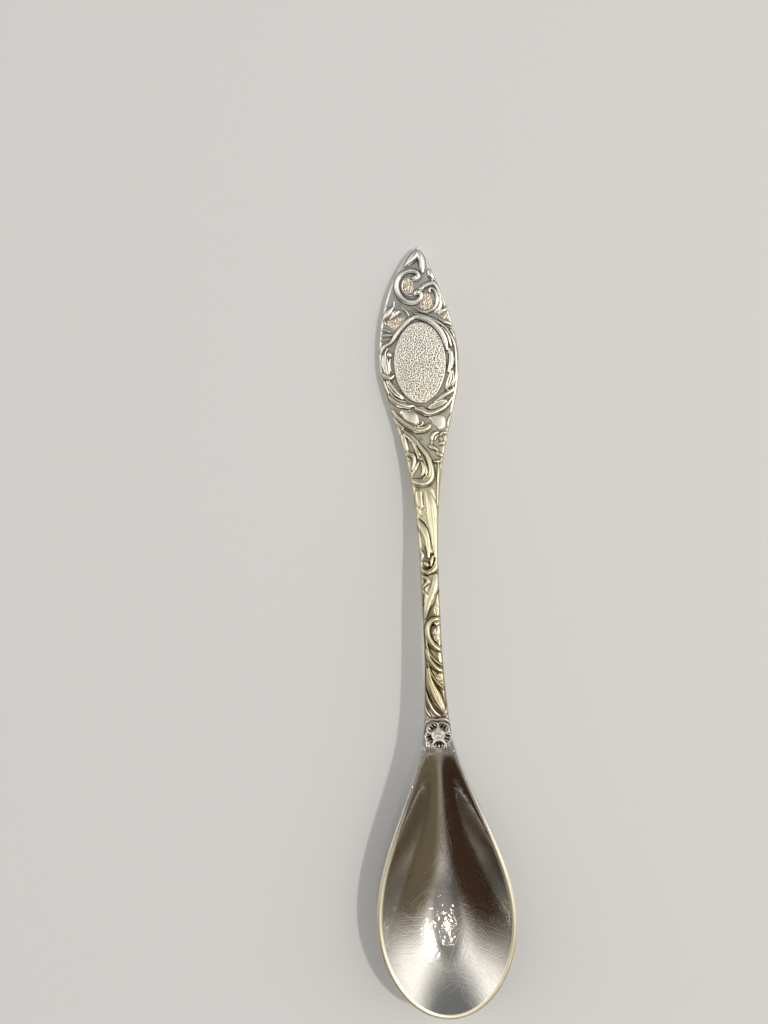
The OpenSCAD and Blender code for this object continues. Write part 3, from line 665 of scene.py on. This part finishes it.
# Medallion wreath: the frame of the oval, an arch of crossing bands over it, leaf curls and beads beside it
# and two sweeping leaves that meet under it. It is cast in silver-plated sections, soldered round the oval
# plate, and it holds more tarnish than the open scrolls do.
ornament("medallion_wreath", [
    ("strap", (-5.3, 17.9, .4, .3), (-5.25, 19.2, .65, .36), (-5, 20.4, .5, .32)),
    ("groove", (-5.5, 18, .07, .1), (-5.5, 19.3, .08, .14), (-5.3, 20.4, .07, .1)),
    ("rib", (-4.4, 18.3, .14, .34), (-4.6, 19.2, .2, .4), (-4.4, 20.3, .14, .34)),
    ("strap", (5.3, 17.1, .22, .36), (5.6, 18.3, .36, .46), (5.5, 19.6, .42, .5), (5.1, 20.8, .26, .42)),
    ("groove", (5.25, 17.9, .08, .12), (5.2, 18.8, .1, .2), (5.05, 19.7, .08, .12)),
    ("rib", (-.3, 11.75, .28, .44), (-1, 12.05, .38, .54), (-1.8, 12.8, .38, .54), (-2.6, 13.6, .36, .52),
     (-3.3, 14.45, .36, .52), (-3.85, 15.25, .34, .5), (-4.4, 15.75, .32, .5), (-5.05, 16.05, .32, .5),
     (-5.6, 16.55, .28, .46), (-5.85, 17.2, .18, .34)),
    ("strap", (-.3, 11.6, .24, .42), (.4, 11.6, .36, .52), (1.3, 11.8, .44, .58), (2.3, 12.35, .5, .6),
     (3.2, 13.1, .52, .6), (3.95, 14.05, .52, .6), (4.5, 15.05, .48, .58), (4.85, 16.1, .4, .54),
     (5, 17.1, .22, .4)),
    ("groove", (.6, 11.65, .06, .1), (2.3, 12.5, .07, .13), (3.85, 14.2, .07, .13), (4.75, 16.2, .06, .1)),
    ("rib", (.2, 11.05, .12, .32), (1.2, 11.32, .15, .42), (2.4, 11.85, .18, .48), (3.6, 12.5, .2, .5),
     (4.65, 13.3, .21, .5), (5.4, 14.3, .21, .48), (5.98, 15.4, .21, .46), (6.3, 16.4, .2, .44),
     (6.42, 17.6, .2, .44), (6.42, 19, .2, .44), (6.36, 20.3, .19, .42), (6.24, 21.4, .18, .4),
     (6, 22.4, .17, .36), (5.55, 23.2, .14, .3)),
    ("rib", (-.9, 10.3, .12, .26), (0, 10.95, .12, .3), (.9, 11.3, .12, .3)),
    ("rib", (-1.9, 10.15, .16, .28), (-1.35, 10.7, .2, .34), (-1.05, 11.3, .16, .28)),
    ("rib", (4.3, 13.5, .22, .42), (5.05, 14.5, .3, .52), (5.5, 15.6, .28, .5), (5.7, 16.6, .2, .42)),
    ("rib", (5.8, 17.5, .16, .32), (5.85, 18.6, .26, .42), (5.7, 19.5, .32, .48), (5.35, 20.2, .32, .5),
     (5.05, 20.75, .2, .4)),
    ("cup", (5.6, 20.9, .32, .34), (5.4, 21.9, .52, .46), (5, 22.8, .46, .46), (4.65, 23.3, .22, .32)),
    ("rib", (4.45, 23.35, .18, .32), (4.8, 23.9, .26, .44), (5.35, 23.95, .26, .44), (5.85, 23.4, .2, .38)),
    ("rib", (5.7, 23.9, .22, .38), (4.9, 24.25, .36, .52), (4.05, 24.75, .4, .54), (3.2, 25.3, .3, .44),
     (2.5, 25.6, .16, .3)),
    ("cup", (4.3, 25.6, .26, .34), (3.4, 25.9, .5, .44), (2.5, 26.25, .5, .46), (1.7, 26.55, .28, .34)),
    ("rib", (5.5, 24.95, .16, .32), (4.85, 25.85, .3, .44), (4.05, 26.6, .42, .54), (3, 27.15, .46, .58),
     (2, 27.45, .5, .6), (1.1, 27.4, .54, .62), (.3, 26.95, .58, .62), (-.35, 26.7, .42, .52),
     (-.75, 26.35, .2, .36)),
    ("rib", (-4.5, 17.55, .42, .54), (-4.5, 17.7, .42, .54)),
    ("rib", (-4.8, 16.6, .16, .32), (-5.15, 17.3, .16, .32), (-5.1, 18.1, .16, .3)),
    ("rib", (-5.6, 20.75, .28, .4), (-5.1, 21.25, .42, .54), (-4.5, 21.4, .42, .54), (-4, 21.05, .26, .4)),
    ("strap", (-4.95, 22, .34, .36), (-4.45, 23, .6, .44), (-3.7, 24, .58, .44), (-2.8, 24.75, .36, .32)),
    ("rib", (-4.85, 23.5, .16, .32), (-4.15, 24.6, .24, .38), (-3.2, 25.2, .26, .4),
     (-2.3, 25.45, .16, .3)),
    ("rib", (-4.9, 24.35, .22, .4), (-4.35, 25.05, .36, .5), (-3.5, 25.65, .46, .57), (-2.6, 26, .48, .59),
     (-1.7, 26.2, .4, .54), (-1.05, 26.15, .22, .34)),
    ("rib", (-5.6, 21.9, .2, .32), (-5.3, 23, .24, .34), (-4.95, 23.9, .18, .3)),
    ("groove", (-4.9, 22.4, .07, .1), (-4.1, 23.6, .09, .14), (-3.2, 24.5, .07, .1)),
    ("groove", (-5, 17.9, .08, .14), (-4.98, 19.2, .1, .2), (-4.8, 20.5, .08, .14)),
    ("groove", (-5.75, 18.4, .07, .1), (-5.8, 19.4, .08, .14), (-5.65, 20.3, .07, .1)),
    ("groove", (-4.35, 22.2, .08, .12), (-3.75, 23.2, .1, .16), (-3.05, 24.1, .08, .12)),
    ("groove", (5.75, 21.1, .08, .14), (5.65, 22, .1, .2), (5.25, 22.9, .08, .14)),
    ("groove", (5.3, 21.3, .07, .12), (5.1, 22.1, .09, .16), (4.85, 22.8, .07, .12)),
    ("groove", (5.95, 18.2, .07, .12), (5.9, 19.2, .09, .16), (5.55, 20.1, .07, .12)),
], ground=0.26, veins=0.8)


# Apron: a scroll that hangs under the oval and carries two smooth cushions, with strands along the right
# edge. It is cast and silver-plated, and soldered on the face where the handle starts to narrow.
ornament("apron_scroll", [
    ("rib", (-2.5, 27.2, .6, .22), (-1.6, 28, .95, .32), (-.9, 28.7, .6, .28)),
    ("strap", (2.1, 28.3, .5, .16), (2.9, 28.7, .95, .2), (3.2, 29.4, .75, .18)),
    ("rib", (-4.5, 27.9, .18, .26), (-3.7, 28.9, .26, .32), (-2.9, 29.7, .26, .32)),
    ("rib", (-4.45, 26.7, .2, .4), (-3.9, 27.6, .3, .52), (-3.05, 28.55, .36, .58), (-2.2, 29.3, .4, .6),
     (-1.3, 29.9, .44, .62), (-.4, 30.2, .48, .62), (.5, 30.15, .5, .62), (1.15, 29.85, .46, .6),
     (1.4, 29.5, .36, .5)),
    ("rib", (-.45, 29.55, .16, .34), (.1, 29.35, .18, .38), (.4, 29, .18, .38), (.25, 28.7, .16, .34),
     (-.05, 28.75, .12, .28)),
    ("rib", (5.85, 26.6, .14, .32), (5.45, 27.5, .2, .42), (4.9, 28.3, .22, .44), (4.6, 29.2, .22, .44),
     (4.5, 30, .14, .3)),
    ("rib", (5.65, 27.6, .12, .28), (5.2, 28.4, .15, .32), (5, 29.3, .15, .32), (4.85, 30, .12, .26)),
])


# Blossom spray: a small blossom of curled petals at the right edge, with leaves and buds on its stalk. Each
# petal and bud is a drop of cast, silver-plated metal, soldered on the face below the apron.
ornament("blossom_spray", [
    ("rib", (1.75, 31.9, .2, .4), (1.85, 31.3, .28, .5), (2.25, 30.85, .3, .54), (2.8, 30.7, .24, .46)),
    ("rib", (2.25, 31.95, .11, .28), (2.4, 31.45, .14, .34), (2.85, 31.2, .12, .3)),
    ("rib", (3.2, 31.2, .2, .42), (3.5, 30.88, .28, .52), (4, 30.78, .26, .5), (4.35, 30.98, .16, .38)),
    ("rib", (4.25, 31.3, .13, .34), (4.28, 31.75, .16, .38), (4.1, 32.2, .13, .34)),
    ("rib", (3.15, 31.75, .28, .44), (3.22, 31.85, .28, .44)),
    ("rib", (3, 32.65, .24, .42), (3.4, 32.5, .34, .54), (3.85, 32.6, .24, .42)),
    ("rib", (1.7, 32.2, .16, .34), (1.62, 32.45, .16, .34)),
    ("rib", (1.25, 32.85, .24, .42), (1.85, 33.15, .34, .54), (2.55, 33.6, .22, .42)),
    ("rib", (2.45, 34.1, .22, .38), (2.95, 34.4, .34, .52), (3.4, 34.75, .22, .4)),
    ("rib", (1.95, 35.45, .2, .38), (2.4, 35.5, .32, .52), (2.9, 35.45, .2, .38)),
    ("rib", (3, 35.9, .14, .28), (3, 36.6, .18, .32)),
    ("rib", (-.4, 31.6, .09, .2), (.5, 31.7, .11, .22)),
])


# Acanthus hook: a leaf whose rib sweeps down from the left edge and hooks round, with veins, lobes and curls.
# It is cast and silver-plated, soldered where the broad end runs into the stem.
ornament("acanthus_hook", [
    ("rib", (-.1, 35.6, .2, .28), (.1, 36.3, .28, .34), (0, 37.2, .24, .3), (-.3, 37.7, .14, .22)),
    ("rib", (-3, 31, .34, .36), (-2.85, 32.2, .55, .5), (-2.55, 33.2, .44, .42)),
    ("rib", (-3.1, 29.95, .14, .32), (-2.4, 30.45, .22, .42), (-1.6, 31.15, .26, .48), (-.9, 32, .3, .52),
     (-.2, 33, .32, .55), (.45, 33.9, .35, .57), (.95, 34.9, .38, .6), (1.25, 35.9, .42, .62),
     (1.38, 36.9, .46, .64), (1.3, 37.85, .52, .66), (.95, 38.5, .6, .66), (.4, 38.85, .66, .66),
     (-.35, 38.95, .68, .64), (-1.1, 38.8, .58, .6), (-1.75, 38.5, .34, .42)),
    ("rib", (.7, 37.75, .16, .4), (.25, 37.95, .18, .5), (0, 38.3, .16, .6), (.35, 38.5, .14, .66)),
    ("rib", (-2.75, 30.65, .15, .32), (-2.15, 31.25, .18, .36), (-1.55, 32.1, .18, .38),
     (-1.15, 33.1, .18, .38), (-.85, 34, .18, .38), (-.55, 34.85, .22, .42), (-.1, 35, .18, .36)),
    ("rib", (-1.6, 31.9, .1, .28), (-.9, 33, .12, .3), (-.35, 34.2, .12, .28)),
    ("rib", (-2.3, 30.95, .08, .24), (-1.5, 31.75, .1, .26), (-.95, 32.6, .1, .24)),
    ("rib", (-.6, 34, .09, .24), (.1, 35, .1, .26), (.5, 36.2, .1, .24)),
    ("rib", (-2.75, 34.05, .24, .42), (-2.1, 34.05, .36, .54), (-1.55, 34.4, .36, .54),
     (-1.3, 35.1, .34, .5), (-1.45, 35.9, .26, .4), (-1.8, 36.6, .16, .28)),
    ("rib", (-2.15, 34.8, .12, .3), (-2.5, 35.25, .15, .32), (-2.55, 35.9, .15, .32),
     (-2.25, 36.6, .15, .3), (-1.95, 37.2, .12, .26)),
    ("rib", (-.7, 35.6, .18, .36), (-1.05, 36.2, .26, .46), (-1.5, 36.9, .24, .44), (-1.85, 37.5, .18, .34),
     (-1.9, 37.9, .12, .28)),
    ("rib", (.55, 36.2, .16, .28), (.6, 37, .2, .32), (.45, 37.6, .14, .24)),
])


# Stem leaf: a long veined leaf that opens into two lobes and rolls up in a volute at its foot. It is cast and
# silver-plated, chased with fine veins and soldered over the whole width of the stem.
ornament("stem_leaf", [
    ("strap", (.2, 40.6, 1.2, .2), (.3, 42.5, 1.5, .26), (.3, 45, 1.4, .26), (.4, 47.5, 1.1, .24),
     (.6, 49.5, .8, .18)),
    ("strap", (-.95, 40.5, .5, .38), (-.9, 41.6, .58, .44), (-.8, 42.5, .5, .4)),
    ("strap", (.4, 40.4, .3, .44), (.75, 41.3, .6, .54), (1, 42.6, .82, .58), (1.1, 44.2, .86, .58),
     (1.2, 46, .76, .56), (1.28, 48, .62, .54), (1.34, 49.5, .5, .5), (1.38, 50.8, .4, .45)),
    vein((.7, 42), (.85, 44), (1, 46.5), (1.05, 49)),
    vein((1.15, 42.4), (1.35, 45), (1.42, 48.5)),
    vein((1.55, 43), (1.72, 45.5), (1.68, 48.5)),
    ("groove", (-.22, 40.2, .1, .2), (-.25, 41.3, .12, .26), (-.25, 42.4, .08, .2)),
    ("rib", (-.25, 43.2, .16, .36), (-.7, 43, .22, .44), (-1, 43.4, .22, .44), (-.9, 44.1, .18, .4),
     (-.4, 44.5, .14, .34)),
    ("groove", (-1.5, 44.3, .1, .2), (-.8, 44.9, .13, .26), (-.1, 45.9, .14, .28), (.35, 47.2, .14, .28),
     (.6, 48.7, .1, .2)),
    ("strap", (-1.3, 45.1, .25, .4), (-.8, 45.9, .52, .54), (-.25, 47, .56, .58), (.05, 48.3, .46, .54),
     (.15, 49.6, .36, .48), (.1, 50.9, .2, .32)),
    vein((-.9, 46.1), (-.15, 47.8), (.1, 49.8)),
    ("rib", (1.55, 49.8, .3, .44), (1.55, 51, .36, .54), (1.3, 52.2, .42, .56), (.75, 52.95, .44, .58),
     (0, 53.3, .42, .56), (-.75, 53.15, .34, .5), (-1.15, 52.7, .2, .34)),
    ("rib", (-.4, 51.9, .36, .5), (-.25, 52.15, .36, .5)),
    ("rib", (-1.15, 49.6, .14, .28), (-.85, 50.5, .26, .42), (-1.05, 51.3, .18, .34)),
    ("rib", (.8, 50.8, .2, .38), (.55, 51.6, .26, .44), (.4, 52.3, .16, .34)),
    ("rib", (2.6, 35.9, .14, .3), (2.5, 37, .2, .38), (2.35, 38.5, .2, .38), (2.25, 40, .2, .38),
     (2.12, 41.3, .18, .36), (2.05, 42.6, .12, .26)),
])


# Stem scrolls: a bridging leaf, an open C-scroll round punched ground, and the strand and band under it. They
# are cast and silver-plated, and soldered along the middle of the stem.
ornament("stem_scrolls", [
    ("matted", (.85, 59.2, .55, .05), (.95, 60, .42, .05)),
    ("matted", (.5, 62.8, .5, .05), (.7, 63.9, .5, .05)),
    ("strap", (.5, 54.2, .8, .2), (.3, 55.8, .95, .24), (-.1, 57.5, .8, .22), (-.6, 59, .45, .16)),
    ("strap", (1.05, 53.95, .4, .44), (1, 54.8, .58, .56), (.75, 55.8, .62, .58), (.25, 56.8, .6, .58),
     (-.3, 57.9, .54, .55), (-.72, 59.2, .44, .48), (-1, 60.5, .2, .28)),
    vein((1.2, 55.2), (.55, 56.9), (-.1, 58.3)),
    vein((.75, 54.5), (.15, 56.2), (-.6, 58)),
    ("rib", (-1.05, 53.95, .24, .38), (-.45, 54.2, .34, .5), (-.2, 54.8, .34, .5), (-.65, 55.3, .28, .44),
     (-1.1, 55.7, .16, .3)),
    ("rib", (-1.1, 56.3, .22, .36), (-.65, 56.9, .28, .42), (-.9, 58, .18, .32)),
    ("rib", (1.2, 61.4, .36, .42), (.7, 61.5, .42, .48)),
    ("rib", (1.4, 60.95, .28, .44), (.85, 60.75, .36, .54), (.25, 60.85, .4, .58), (-.35, 61.4, .42, .6),
     (-.7, 62.2, .42, .6), (-.75, 63.1, .42, .6), (-.5, 64, .44, .62), (0, 64.8, .46, .62),
     (.7, 65.4, .46, .6), (1.35, 65.75, .36, .5)),
    ("rib", (-1, 63.7, .12, .26), (-.95, 65, .15, .32), (-.6, 66.1, .17, .38), (.05, 67.05, .18, .42),
     (.75, 67.75, .18, .42), (1.35, 68.05, .15, .34)),
    ("rib", (-1.05, 65.6, .24, .34), (-.75, 66.9, .34, .46), (-.2, 67.9, .42, .54), (.5, 68.6, .44, .56),
     (1.25, 69, .36, .48)),
])


# Neck leaf: a broad lance leaf laid across the stem, with a fine strand over it and two straps under it. It
# is cast and silver-plated, chased with two veins and soldered above the rosette.
ornament("neck_leaf", [
    ("matted", (.5, 69.8, .5, .05), (.95, 70.6, .42, .05)),
    ("strap", (-1.05, 68.6, .2, .34), (-.9, 70, .42, .48), (-.6, 71.4, .66, .58), (-.1, 72.6, .8, .62),
     (.45, 73.8, .72, .6), (.98, 74.9, .48, .5), (1.25, 75.6, .2, .32)),
    vein((-.8, 70.5), (-.1, 72.5), (.9, 74.8)),
    vein((-.35, 71.2), (.35, 72.8), (1.05, 74.4)),
    ("rib", (-1, 67.6, .11, .28), (-.6, 69.1, .14, .34), (.05, 70.3, .16, .38), (.75, 71.2, .16, .38),
     (1.35, 71.9, .12, .3)),
    ("rib", (-1.5, 72.3, .15, .32), (-1.28, 73.4, .26, .44), (-.78, 74.6, .3, .48), (-.2, 75.5, .28, .46),
     (.5, 76, .18, .34)),
    ("rib", (-1.7, 74.5, .12, .28), (-1.5, 75.3, .2, .36), (-1.05, 76, .15, .3)),
    ("rib", (1.75, 74.7, .12, .28), (1.6, 75.4, .2, .36), (1.2, 76, .15, .3)),
    ("rib", (-1.75, 76.95, .16, .36), (-.95, 76.5, .2, .42), (.05, 76.6, .2, .44), (1, 76.5, .2, .42),
     (1.85, 76.95, .16, .36)),
])


# Neck rosette: five cupped petals round a boss, with short reeds that fade into the bowl's heel. It is cast
# and silver-plated and soldered over the seam. Its edges are rubbed bright, and its cups stay dark.
petals, petal_turn, rosette_x, rosette_r, rosette_h = 5, np.pi, 0.1, 2.15, 0.62


def rosette_height():
    """Height of the rosette over the face's grid, with lengths as shares of its radius. Each petal is an oval
    cup with a raised rim, whose height goes by the oval's own distance e, and fine folds run along it, the
    upper halves of a cosine. A coned star of rays runs out from the boss, which sits in a ring."""
    petal_at, petal_l, petal_half, petal_spread = 0.69, 0.31, 0.46, 0.2
    cup_floor, cup_rise, rim_rise, rim_at, rim_l, skirt_w = 0.1, 0.2, 0.7, 0.72, 0.22, 0.15
    fold_h, fold_w, fold_most = 0.34, 0.037, 0.4
    cone_h, cone_slope, fade_at, fade_l, star_r = 1.3, 1.6, 0.48, 0.14, 0.62
    rays_per_petal, ray_mean, ray_swing = 3, 0.85, 0.28
    boss_r, boss_h, ring_h, ring_w, ring_reach = 0.2, 0.42, 1.1, 0.3, 1.4
    x, t = np.meshgrid((across - rosette_x) / rosette_r, (down - handle_l) / rosette_r)
    r, a = np.hypot(x, t), np.arctan2(x, -t)
    height = np.full(r.shape, no_metal)
    for way in petal_turn + 2 * np.pi * np.arange(petals) / petals:
        u, v = r * np.cos(a - way), r * np.sin(a - way)
        e = np.hypot((u - petal_at) / petal_l, v / (petal_half + petal_spread * (u - petal_at)))
        fold = fold_h * np.clip(np.cos(v / fold_w), 0, None) * np.clip(1 - e, 0, fold_most)
        cup = cup_floor + cup_rise * e ** 2 + rim_rise * smooth((e - rim_at) / rim_l) + fold
        height = np.maximum(height, rosette_h * np.where(e < 1, cup, 1 - ((e - 1) / skirt_w) ** 2))
    cone = (cone_h - cone_slope * r) * (1 - smooth((r - fade_at) / fade_l))
    rays = cone * (ray_mean + ray_swing * np.cos(a * petals * rays_per_petal))
    height = np.where(r < star_r, np.maximum(height, rosette_h * rays), height)
    ring = ring_h * rosette_h * np.exp(-((r - boss_r) / (ring_w * boss_r)) ** 2)
    boss = np.maximum(boss_h * rosette_h * (r < boss_r), ring)
    return np.where(r < ring_reach * boss_r, boss, np.clip(height, no_metal, None))


ornament("neck_rosette", [
    ("rib", (-1.9, 80.2, .14, .4), (-1.85, 80.9, .15, .45), (-1.75, 81.6, .1, .25)),
    ("rib", (-1.5, 80.3, .15, .42), (-1.45, 81, .16, .46), (-1.38, 81.8, .1, .25)),
    ("rib", (-1.1, 80.6, .14, .42), (-1.05, 81.2, .15, .44), (-1, 81.8, .1, .25)),
    ("rib", (-.65, 80.9, .12, .36), (-.62, 81.4, .12, .36), (-.6, 81.8, .08, .2)),
    ("rib", (.8, 80.9, .13, .38), (.8, 81.3, .13, .38), (.78, 81.8, .08, .2)),
    ("rib", (1.25, 80.6, .14, .42), (1.25, 81.1, .15, .44), (1.2, 81.8, .1, .25)),
    ("rib", (1.7, 80.3, .15, .42), (1.7, 80.9, .15, .44), (1.62, 81.7, .1, .25)),
], ground=-0.1, veins=0.05, cups=1.15, over=rosette_height())


# Medallion plate: a thin oval plate soldered on the broad end inside the wreath. It is silver-plated, and its
# face is matted all over with a round punch.
plate_low, plate_high = (np.array(corner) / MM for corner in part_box("medallion_plate"))
plate_x, plate_t = (plate_low[0] + plate_high[0]) / 2, tip_y - (plate_low[1] + plate_high[1]) / 2
plate_w, plate_l, plate_h, plate_turn, plate_edge = 8.6, 13.5, 0.25, np.radians(2.5), 0.955


def matted_silver_plate():
    """Silver plate with a punched, light-scattering face: bright between the dots, dark at their bottom."""
    material, tree = new_tree("matted_silver_plate")
    place = put(tree, "TexCoord").outputs["Object"]
    patina = put(tree, "Attribute", attribute_name="patina").outputs["Fac"]
    tarnish = clouded(tree, place, size=1.5, detail=4.0, roughness=0.65, share=0.35)
    dark = put(tree, "MapRange", {"Value": tarnish, "From Min": 0.16, "From Max": 0.96}).outputs[0]
    dull = put(tree, "MapRange", {"Value": patina, "To Min": 0.42, "To Max": 0.5}).outputs[0]
    shader = put(tree, "BsdfPrincipled", {"Base Color": plate_colour_with_painted_light(tree, place, dark), "Metallic": 1.0,
                                          "Roughness": dull})
    put(tree, "OutputMaterial", {"Surface": shader.outputs[0]})
    return material


def plate_height():
    """Height of the plate over the face's grid: level, punched, and rolled off at the oval's edge by a
    parabola. Also where it is matted."""
    x, t = grid_x - plate_x, grid_t - plate_t
    u, v = x * np.cos(plate_turn) + t * np.sin(plate_turn), t * np.cos(plate_turn) - x * np.sin(plate_turn)
    q = np.hypot(2 * u / plate_w, 2 * v / plate_l)
    level = plate_h * (1 - np.clip((q - plate_edge) / (1 - plate_edge), 0, None) ** 2)
    matted = (q < plate_edge) * 1.0
    return level - dimples * matted, matted


relief_piece("medallion_plate_punched", *plate_height(), "medallion_plate", "matted_silver",
             matted_silver_plate(), open_ground, open_veins, 0.0)


# Handle's finish: the blank is silver-plated, and polish and wear keep what stands high bright, while the
# ground and the dots stay dark. How far a place lies below its surroundings says how dark it is, most of all
# along the stem. The ornament takes its tarnish from the same maps.
blank_ground, blank_veins = 0.2, 0.5
recess_size, recess_depth, vein_size, vein_depth = 0.55, 0.4, 0.15, 0.06
recess = blurred(height_map, recess_size) - height_map
fine_recess = np.clip((blurred(height_map, vein_size) - height_map) / vein_depth, 0, 1)


def worn_silver_plate():
    """Silver plate with a soft satin of small scratches, dark in the recesses of the face and plain on the
    back. The scratches are drawn 0.14 mm wide so that they show."""
    scratch_way, scratch_w, scratch_share, scratch_deep = 8, 0.14, 0.44, 0.03
    material, tree = new_tree("worn_silver_plate")
    place = put(tree, "TexCoord").outputs["Object"]
    tarnish = clouded(tree, place, size=0.7, detail=4.0, roughness=0.65, share=0.35)
    dark = put(tree, "MapRange", {"Value": tarnish, "From Min": 0.25, "From Max": 1.2}).outputs[0]
    dull = put(tree, "MapRange", {"Value": tarnish, "From Max": 0.9, "To Min": 0.13,
                                  "To Max": 0.22}).outputs[0]
    lines = scratches(tree, place, scratch_way, scratch_w, scratch_share)
    bump = put(tree, "Bump", {"Height": lines, "Strength": 0.2, "Distance": scratch_deep * MM}).outputs[0]
    shader = put(tree, "BsdfPrincipled", {"Base Color": plate_colour_with_painted_light(tree, place, dark), "Metallic": 1.0,
                                          "Roughness": dull, "Normal": bump})
    put(tree, "OutputMaterial", {"Surface": shader.outputs[0]})
    return material


def tarnish_points(piece, ground, veins, cups):
    """Paints the darkness on a piece's points from the maps of the face: the ground's own, more by the depth
    of the recess, and more in veins, dots and cups. Below the face it is even and slight."""
    head_strength, stem_strength, stem_at, stem_l = 0.6, 1.35, 42, 16
    dot_dark, cup_start, cup_slope = 0.5, 0.8, 1.6
    face_margin, back_dark = 0.45, 0.05
    spots = np.empty(len(piece.data.vertices) * 3, np.float32)
    piece.data.vertices.foreach_get("co", spots)
    x, y, z = spots.reshape(-1, 3).T / MM
    t = tip_y - y
    col = np.clip(np.rint((x - across[0]) / STEP).astype(int), 0, len(across) - 1)
    row = np.clip(np.rint((t - down[0]) / STEP).astype(int), 0, len(down) - 1)
    strength = head_strength + (stem_strength - head_strength) * smooth((t - stem_at) / stem_l)
    dark = ground + strength * recess[row, col] / recess_depth
    dark += veins * fine_recess[row, col] + dot_dark * dot_map[row, col]
    dark += cups * np.clip(cup_start - cup_slope * height_map[row, col] / rosette_h, 0, 1)
    on_face = z > back_z(np.minimum(t, handle_l)) + blade_t - face_margin
    dark = np.where(on_face, np.clip(dark, 0, 1), back_dark)
    layer = piece.data.attributes.new("patina", "FLOAT", "POINT")
    layer.data.foreach_set("value", dark.astype(np.float32))


for piece, tarnish in reliefs:
    tarnish_points(piece, *tarnish)
tarnish_points(handle_blank, blank_ground, blank_veins, 0.0)
finish_piece(handle_blank, worn_silver_plate(), "worn_silver", "handle")


# Studio: a plain pale floor of matt board, and a bright tent with a dim opening above it, which the level
# faces mirror. Three dim panels stand round the tent for the bowl to mirror, and two small lamps make glints.
floor_half = 3000.0
opening_way, opening_inner, opening_outer = (0.0, -0.12, 0.993), 0.95, 0.88
tent_level, opening_level, foot_share, foot_top = 1.9, 0.46, 0.36, 0.4
panel_inner, panel_foot = 0.92, 0.1
panels = (
    ((-0.62, -0.62, 0.48), "#36281E", 0.55),
    ((0.6, -0.66, 0.45), "#5D5546", 0.66),
    ((0.0, 0.85, 0.53), "#686B6E", 0.5),
)


def pale_board():
    """Plain pale matt board."""
    material, tree = new_tree("pale_board")
    shader = put(tree, "BsdfPrincipled", {"Base Color": linear("#E2E1DF"), "Roughness": 0.8})
    put(tree, "OutputMaterial", {"Surface": shader.outputs[0]})
    return material


floor_corners = np.array([[-1, -1, 0], [1, -1, 0], [1, 1, 0], [-1, 1, 0]], float) * floor_half
floor = mesh_object("floor", floor_corners, [np.array([[0, 1, 2, 3]])])
floor.data.materials.append(pale_board())

world = bpy.data.worlds.new("soft_tent")
world.use_nodes = True
world.node_tree.nodes.clear()
room = world.node_tree
way = put(room, "TexCoord").outputs["Generated"]
upward = put(room, "SeparateXYZ", {"Vector": way}).outputs["Z"]
over = put(room, "VectorMath", {0: way, 1: opening_way}, operation="DOT_PRODUCT").outputs["Value"]
tent = put(room, "MapRange", {"Value": over, "From Min": opening_outer, "From Max": opening_inner,
                              "To Min": tent_level, "To Max": opening_level},
           interpolation_type="SMOOTHSTEP").outputs[0]
foot = put(room, "MapRange", {"Value": upward, "From Max": foot_top, "To Min": foot_share,
                              "To Max": 1.0}).outputs[0]
level = put(room, "Math", {0: tent, 1: foot}, operation="MULTIPLY").outputs[0]
light = linear("#FFFFFF")
raised = put(room, "MapRange", {"Value": upward, "From Max": panel_foot}).outputs[0]
for panel_way, colour, panel_outer in panels:
    facing = put(room, "VectorMath", {0: way, 1: panel_way}, operation="DOT_PRODUCT").outputs["Value"]
    shady = put(room, "MapRange", {"Value": facing, "From Min": panel_outer, "From Max": panel_inner},
                interpolation_type="SMOOTHSTEP").outputs[0]
    cover = put(room, "Math", {0: shady, 1: raised}, operation="MULTIPLY").outputs[0]
    light = put(room, "Mix", {"Factor": cover, "A": light, "B": linear(colour)},
                data_type="RGBA").outputs["Result"]
sky = put(room, "Background", {"Color": light, "Strength": level})
put(room, "OutputWorld", {"Surface": sky.outputs[0]})
bpy.context.scene.world = world


def lamp(name, place, watts):
    """A small round lamp, aimed at the spoon's middle. Its place and size are in metres."""
    lamp_size = 0.045
    data = bpy.data.lights.new(name, "AREA")
    data.shape, data.size, data.energy = "DISK", lamp_size, watts
    data.color = linear("#FFFCF5")[:3]
    lit = bpy.data.objects.new(name, data)
    lit.location = place
    lit.rotation_euler = (-lit.location).to_track_quat("-Z", "Y").to_euler()
    bpy.context.scene.collection.objects.link(lit)


lamp("lamp_above", place=(0.0, -0.07, 1.0), watts=0.4)
lamp("lamp_right", place=(0.46, 0.03, 0.89), watts=2.6)


# Camera: straight above the spoon and a little turned, as close as the photograph was taken, so that the
# raised bowl shows a little larger than the flat end.
camera_data = bpy.data.cameras.new("camera")
camera_data.lens, camera_data.sensor_width, camera_data.clip_start = 38.6, 36.0, 0.01
camera = bpy.data.objects.new("camera", camera_data)
camera.location = (-6.70 * MM, 19.22 * MM, 182.06 * MM)
camera.rotation_euler = (0, 0, np.radians(-2.94))
bpy.context.scene.collection.objects.link(camera)
bpy.context.scene.camera = camera
bpy.context.scene.view_settings.view_transform = "Standard"
